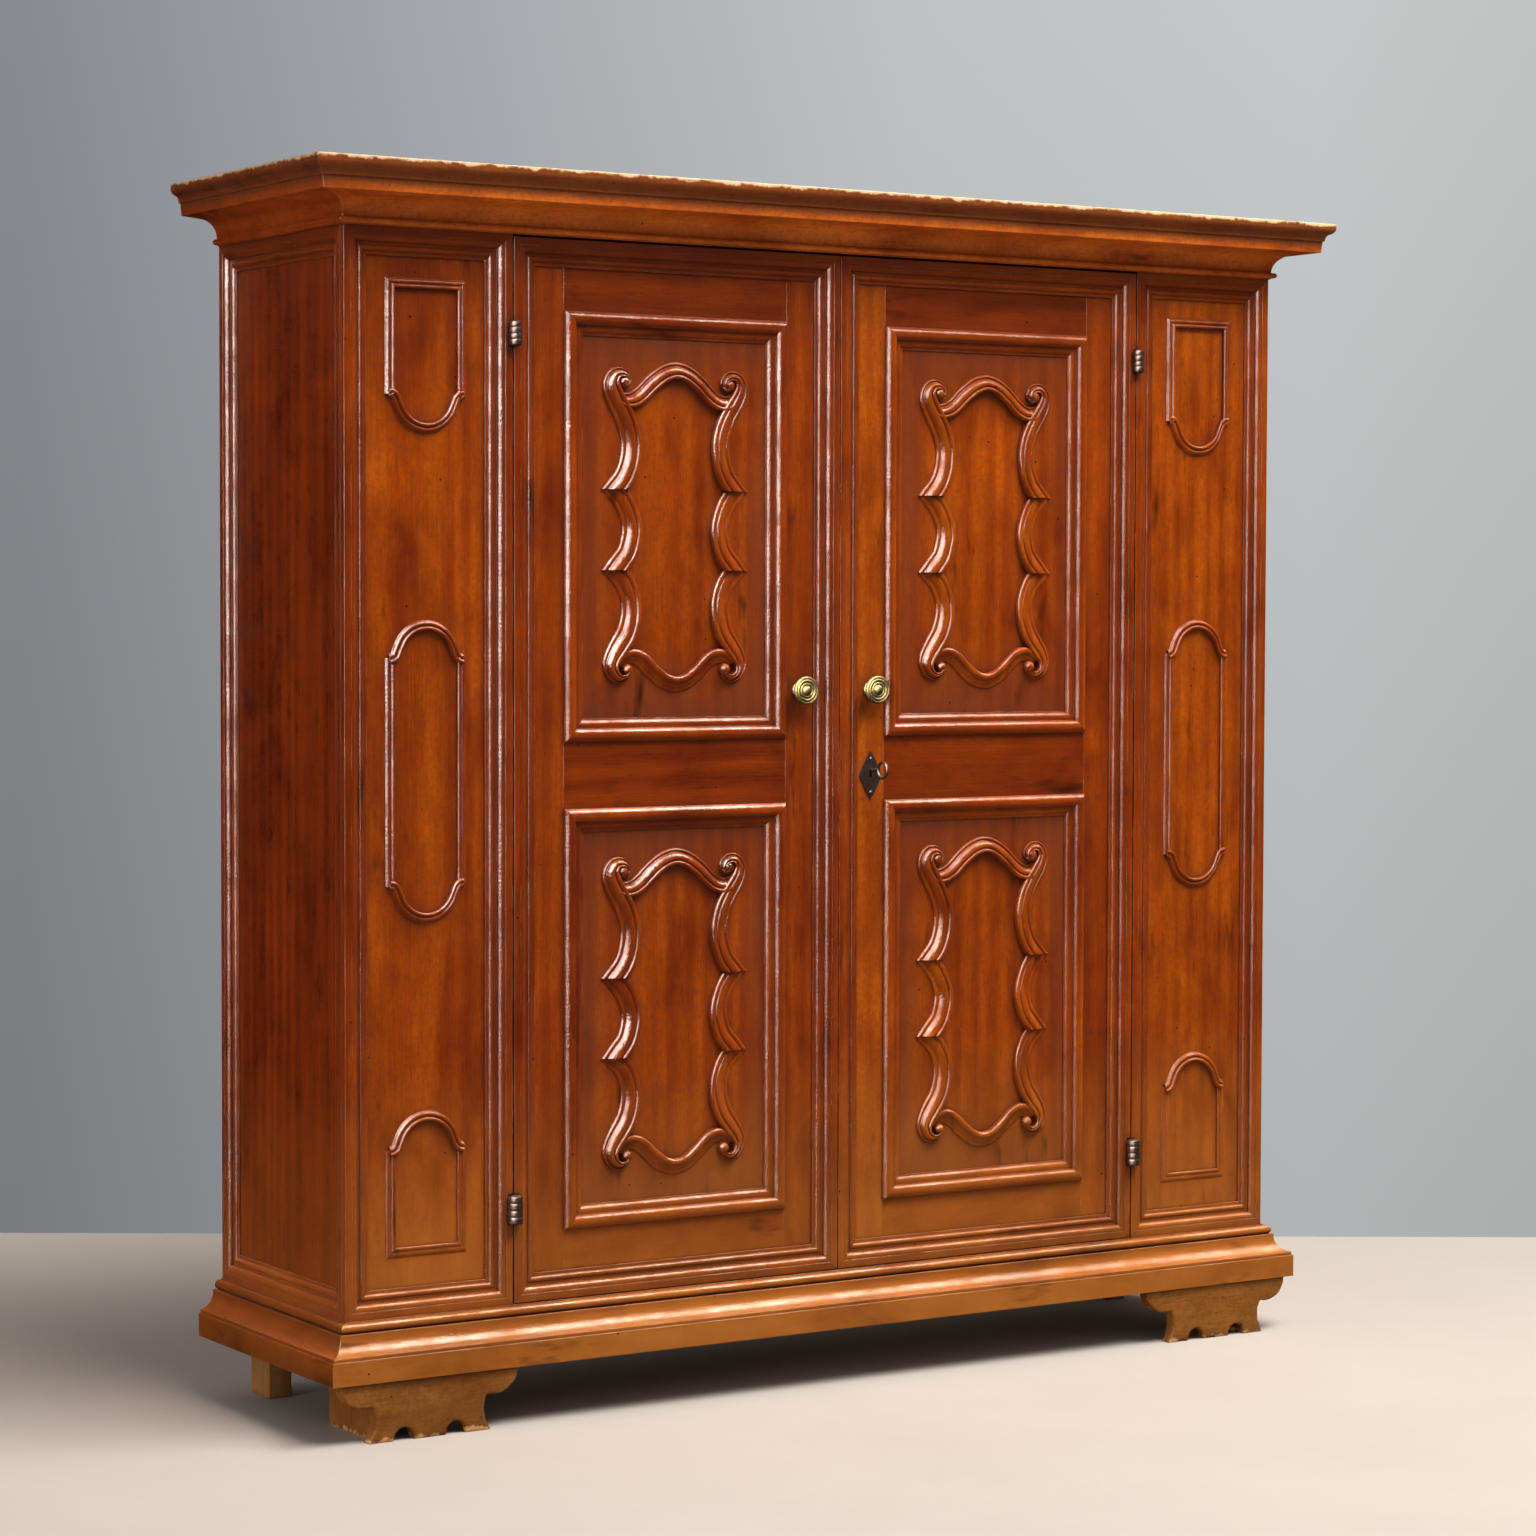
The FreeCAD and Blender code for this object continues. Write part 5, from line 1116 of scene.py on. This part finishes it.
# %% Knobs
KNOB_MM = (
    (0, -18), (4, -18), (4, 0), (15, 0), (15, 1.6), (14.4, 3), (12.6, 4), (10.6, 4.6), (8.4, 6.6), (7, 9),
    (6.6, 11), (7.2, 13.4), (9.4, 15.6), (14, 17.4), (20, 18.8), (23.4, 20), (24.6, 21.4), (25, 23.2),
    (24.7, 25), (23.8, 26.6), (22.4, 27.4), (21.2, 27.1), (20.6, 26.2), (20, 26), (19.4, 26.7), (18, 27.8),
    (16.6, 28), (15.4, 27.3), (14.8, 26.4), (14.2, 26.2), (13.6, 26.8), (12.4, 27.8), (11, 27.9),
    (10, 27.1), (9.4, 26.4), (8.8, 26.8), (8, 28.4), (6.4, 30.2), (4.2, 31.3), (2, 31.9), (0, 32))
SPUN_SIDES = 48
SPUN_ANGLE = math.radians(40)


def spun(outline, sides):
    """A skin spun about an axis from (radius, height) pairs; the first and last lie on the axis."""
    points, faces = [], []
    for radius, height in outline:
        for side in range(sides):
            turn = side / sides * 2 * math.pi
            points.append((radius * math.cos(turn), radius * math.sin(turn), height))
    for row in range(len(outline) - 1):
        for side in range(sides):
            a, b = row * sides + side, row * sides + (side + 1) % sides
            if outline[row][0] == 0:
                faces.append((a, b + sides, a + sides))
            elif outline[row + 1][0] == 0:
                faces.append((a, b, a + sides))
            else:
                faces.append((a, b, b + sides, a + sides))
    return weld(np.array([[points[corner] for corner in half] for face in faces
                          for half in ((face[0], face[1], face[2]), (face[0], face[2], face[-1]))
                          if len(set(half)) == 3]))


for door in ("left", "right"):
    node = f"{door}_door_knob"
    low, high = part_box(node)
    face_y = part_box(f"{door}_door_meeting_stile")[0].y
    points, faces = spun([(radius * MM, out * MM) for radius, out in KNOB_MM], SPUN_SIDES)
    placed = on_front((points, faces), (low.x + high.x) / 2, face_y, (low.z + high.z) / 2)
    piece = stand_for(mesh_piece(f"{node}_turned", *placed, brass, angle=SPUN_ANGLE), node)
    print(piece.name, len(placed[0]), "points")

# %% [markdown]
# The hinge line of a door is the axis of its joint, so the barrels are spun about that.

# %% Hinge barrels
KNUCKLE_BULGE = ((0.0, 0.02), (0.03, 0.35), (0.12, 0.62), (0.3, 0.8), (0.46, 0.7), (0.5, 0.12), (0.54, 0.7),
                 (0.7, 0.8), (0.86, 0.62), (0.94, 0.35), (0.97, 0.02))
BULGE_MM = 0.7


def banded(radius, foot, head):
    """The outline of one knuckle: two bulging bands over the plain barrel."""
    rows = [(0, foot)]
    for share, bulge in KNUCKLE_BULGE:
        rows.append((radius + bulge * BULGE_MM * MM, foot + share * (head - foot)))
    return rows + [(0, head)]


JOINT = {joint["child"]: joint for joint in frame["record"]["behaviour"]["joints"]}
for node in ("hinge_pintles", "left_door_hinge_knuckles", "right_door_hinge_knuckles"):
    corners = triangles(node)
    labels = by_solid(corners)
    parts = [weld(corners)]
    for label in np.unique(labels):
        solid = corners[labels == label].reshape(-1, 3)
        axis = JOINT["left_door" if solid[0, 0] < 0 else "right_door"]["pos_m"]
        radius = axis[1] - solid[:, 1].min()
        barrel = solid[np.abs(solid[:, 1] - solid[:, 1].min()) < radius / 4]
        points, faces = spun(banded(radius, barrel[:, 2].min(), barrel[:, 2].max()), SPUN_SIDES)
        parts.append((points + np.array((axis[0], axis[1], 0)), faces))
    piece = stand_for(mesh_piece(f"{node}_banded", *gather(parts), iron, angle=SPUN_ANGLE), node)
    print(piece.name, len(parts) - 1, "knuckles")

# %% [markdown]
# ## Battered feet
# The bracket feet have stood on wet floors and been dragged. Their edges are chipped and soft. A fine
# even mesh of each foot is pushed in along its edges by a noise, most of all near the floor.

# %% Feet
CHIP_MM, DENT_MM = 3.0, 0.4
CHIPS_PER_METRE, SPLINTERS_PER_METRE, DENTS_PER_METRE = 42, 120, 14
WORN_HEIGHT_M = 0.075
FOOT_VOXEL_MM = 3.2
FOOT_ANGLE = math.radians(60)


def battered(node):
    """A finely divided copy of a foot with chipped edges."""
    points, faces = weld(triangles(node))
    rough = mesh_piece(f"{node}_battered", points, faces, FINISH[SLOT[node]])
    remesh = rough.modifiers.new("even", "REMESH")
    remesh.mode = "VOXEL"
    remesh.voxel_size = FOOT_VOXEL_MM * MM
    fine = bpy.data.meshes.new_from_object(rough.evaluated_get(bpy.context.evaluated_depsgraph_get()))
    bpy.data.objects.remove(rough)
    where = np.empty(len(fine.vertices) * 3)
    fine.vertices.foreach_get("co", where)
    where = where.reshape(-1, 3)
    normal = np.array([vertex.normal for vertex in fine.vertices])
    # Near an edge the even mesh's normals lean between the two faces
    leaning = 1 - np.abs(normal).max(axis=1)
    low = np.clip(1.25 - where[:, 2] / WORN_HEIGHT_M, 0.25, 1)
    chips = np.array([noise.noise(Vector(spot) * CHIPS_PER_METRE)
                      + 0.6 * noise.noise(Vector(spot) * SPLINTERS_PER_METRE) for spot in where])
    dents = np.array([noise.noise(Vector(spot) * DENTS_PER_METRE) for spot in where])
    depth = np.clip(chips, 0, 1) * (0.25 + 4.5 * leaning) * low * CHIP_MM * MM + dents * DENT_MM * MM
    moved = where - normal * depth[:, None]
    box_low, box_high = where.min(axis=0), where.max(axis=0)
    moved = np.clip(moved, box_low, box_high)
    # The top stays flat under the base
    top = where[:, 2] > box_high[2] - 2 * FOOT_VOXEL_MM * MM
    moved[top, 2] = where[top, 2]
    faces = [tuple(face.vertices) for face in fine.polygons]
    bpy.data.meshes.remove(fine)
    along = 0 if node.startswith("front") else 2
    wood = grain_space(moved, along, random.Random(node))
    piece = mesh_piece(
        f"{node}_battered", moved, faces, FINISH[SLOT[node]], wood, np.zeros(len(moved)), FOOT_ANGLE)
    return stand_for(piece, node)


for node in FEET:
    piece = battered(node)
    print(piece.name, len(piece.data.vertices), "points")

# %% [markdown]
# ## The floor
# The cupboard stands on a plain pale studio floor, before a plain grey-blue wall. One flat face is
# enough for the floor. It ends at the foot of the wall, which is only the background.

# %% Floor
WALL_FROM_EYE_M = 8.37
FLOOR_HALF_WIDTH_M = 9.0
FLOOR_DEPTH_M = 14.0
FLOOR_BELOW_M = 0.0004
FLOOR_MOTTLE_MM = 625

floor_material, tree = new_material("floor_pale_matt")
floor_place = add_node(tree, "TexCoord").outputs["Object"]
mottle = add_node(tree, "TexNoise", {
    "Vector": floor_place, "Scale": per_metre(FLOOR_MOTTLE_MM), "Detail": 5.0, "Roughness": 0.6})
floor_colour = add_node(tree, "Mix", {
    0: mottle.outputs["Fac"], 6: linear("#9f9d9b"), 7: linear("#aaa9a7")}, data_type="RGBA")
floor_shader = add_node(tree, "BsdfPrincipled", {
    "Base Color": floor_colour.outputs[2], "Roughness": 0.9, "Specular IOR Level": 0.0})
add_node(tree, "OutputMaterial", {"Surface": floor_shader.outputs[0]})
ahead = Vector((forward.x, forward.y, 0)).normalized()
wall_foot = Vector((EYE.x, EYE.y, -FLOOR_BELOW_M)) + ahead * WALL_FROM_EYE_M
near_edge = wall_foot - ahead * FLOOR_DEPTH_M
rim = [near_edge - level * FLOOR_HALF_WIDTH_M, near_edge + level * FLOOR_HALF_WIDTH_M,
       wall_foot + level * FLOOR_HALF_WIDTH_M, wall_foot - level * FLOOR_HALF_WIDTH_M]
floor = mesh_piece("floor", rim, [(0, 1, 2, 3)], floor_material)
# A pale floor mirrored in the polish would veil the lower half in white
floor.visible_glossy = False
print("floor", FLOOR_HALF_WIDTH_M * 2, "m wide")

# %% [markdown]
# ## The light
# A large soft lamp high on the right lights the front, a weaker one the left side. Two bright patches
# of the studio wall, one on the left and one above, are seen only in the polish: they draw the pale
# lines along the mouldings. The background gives only a little light of its own.

# %% Background and gleams
# The wall behind is painted darker on the left and lighter on the right: painted light and shade on the
# backdrop
BACKGROUND = [(0.0, "#888a8f"), (0.31, "#a8aaaf"), (0.585, "#bec2c4"), (0.86, "#c5c9c9"), (1.0, "#bfc3c2")]
WALL_LEFT, WALL_RIGHT = -0.19, 0.193
WALL_LOW, WALL_HIGH, LOW_LIGHT = -0.155, 0.15, 0.78
AMBIENT = 0.43
DIM = 0.05
LEFT_GLEAM, LEFT_GLEAM_COLOUR, LEFT_GLEAM_AT = 38.0, "#fbeae0", (-0.69, -0.33, 0.64)
TOP_GLEAM, TOP_GLEAM_COLOUR, TOP_GLEAM_AT = 34.0, "#ffeed8", (0.53, -0.16, 0.83)
world = bpy.data.worlds.new("studio")
bpy.context.scene.world = world
world.use_nodes = True
tree = world.node_tree
tree.nodes.clear()
sight = add_node(tree, "TexCoord").outputs["Generated"]
aside = add_node(tree, "VectorMath", {0: sight, 1: tuple(level)}, operation="DOT_PRODUCT")
aside_share = add_node(tree, "MapRange", {
    "Value": aside.outputs["Value"], "From Min": WALL_LEFT, "From Max": WALL_RIGHT})
wall = add_node(tree, "ValToRGB", {"Fac": aside_share.outputs[0]}, stops=BACKGROUND)
# Painted shade: the wall is a little darker near the floor
rise = add_node(tree, "SeparateXYZ", {"Vector": sight}).outputs["Z"]
wall_light = add_node(tree, "MapRange", {
    "Value": rise, "From Min": WALL_LOW, "From Max": WALL_HIGH, "To Min": LOW_LIGHT, "To Max": 1.0})
seen = add_node(tree, "Background", {"Color": wall.outputs["Color"], "Strength": wall_light.outputs[0]})
felt = add_node(tree, "Background", {"Color": linear("#fbf0e8"), "Strength": AMBIENT})


def gleam(towards, inner, outer, strength, colour):
    """A soft bright patch of studio wall, seen only in the polish, within an angle of a direction."""
    middle = tuple(Vector(towards).normalized())
    near = add_node(tree, "VectorMath", {0: sight, 1: middle}, operation="DOT_PRODUCT")
    share = add_node(tree, "MapRange", {
        "Value": near.outputs["Value"], "From Min": math.cos(math.radians(outer)),
        "From Max": math.cos(math.radians(inner)), "To Min": 0.0, "To Max": strength},
        interpolation_type="SMOOTHSTEP")
    return add_node(tree, "Background", {"Color": linear(colour), "Strength": share.outputs[0]}).outputs[0]


# Before the cupboard the studio is dim, behind it dark
before = add_node(tree, "SeparateXYZ", {"Vector": sight}).outputs["Y"]
dim = add_node(tree, "MapRange", {
    "Value": before, "From Min": 0.1, "From Max": -0.4, "To Min": 0.0, "To Max": DIM})
still = add_node(tree, "Background", {"Color": linear("#ffeada"), "Strength": dim.outputs[0]})
left_patch = gleam(LEFT_GLEAM_AT, inner=36, outer=48, strength=LEFT_GLEAM, colour=LEFT_GLEAM_COLOUR)
top_patch = gleam(TOP_GLEAM_AT, inner=16, outer=28, strength=TOP_GLEAM, colour=TOP_GLEAM_COLOUR)
patches = add_node(tree, "AddShader", {0: left_patch, 1: top_patch})
mirrored = add_node(tree, "AddShader", {0: patches.outputs[0], 1: still.outputs[0]})
path = add_node(tree, "LightPath")
dimmed = add_node(tree, "MixShader", {
    0: path.outputs["Is Glossy Ray"], 1: felt.outputs[0], 2: mirrored.outputs[0]})
studio = add_node(tree, "MixShader", {
    0: path.outputs["Is Camera Ray"], 1: dimmed.outputs[0], 2: seen.outputs[0]})
add_node(tree, "OutputWorld", {"Surface": studio.outputs[0]})
print("world", world.name, "with", len(tree.nodes), "nodes")

# %% [markdown]
# The lamps are large, so that their shadows are soft. They light the wood but are not mirrored in the
# polish.


# %% Lamps
def soft_lamp(name, place, target, size, watts, colour):
    """A rectangular lamp, sized in metres, that faces its target."""
    lamp = bpy.data.lights.new(name, "AREA")
    lamp.shape = "RECTANGLE"
    lamp.size, lamp.size_y = size
    lamp.energy = watts
    lamp.color = linear(colour)[:3]
    holder = bpy.data.objects.new(name, lamp)
    holder.location = place
    holder.rotation_euler = (Vector(target) - Vector(place)).to_track_quat("-Z", "Y").to_euler()
    # The two patches alone are mirrored in the polish
    holder.visible_glossy = False
    bpy.context.scene.collection.objects.link(holder)
    return holder


soft_lamp(
    "front_top", place=(1.6, -2.7, 6.2), target=(0, -0.2, 0.9), size=(5.5, 2.6), watts=1000, colour="#fff2e4")
soft_lamp("left", place=(-5.2, -1.3, 0.9), target=(-0.9, 0, 1.0), size=(1.6, 1.4), watts=56, colour="#fff0e4")
bpy.context.scene.view_settings.view_transform = "Standard"
print(len(bpy.data.lights), "soft lamps")
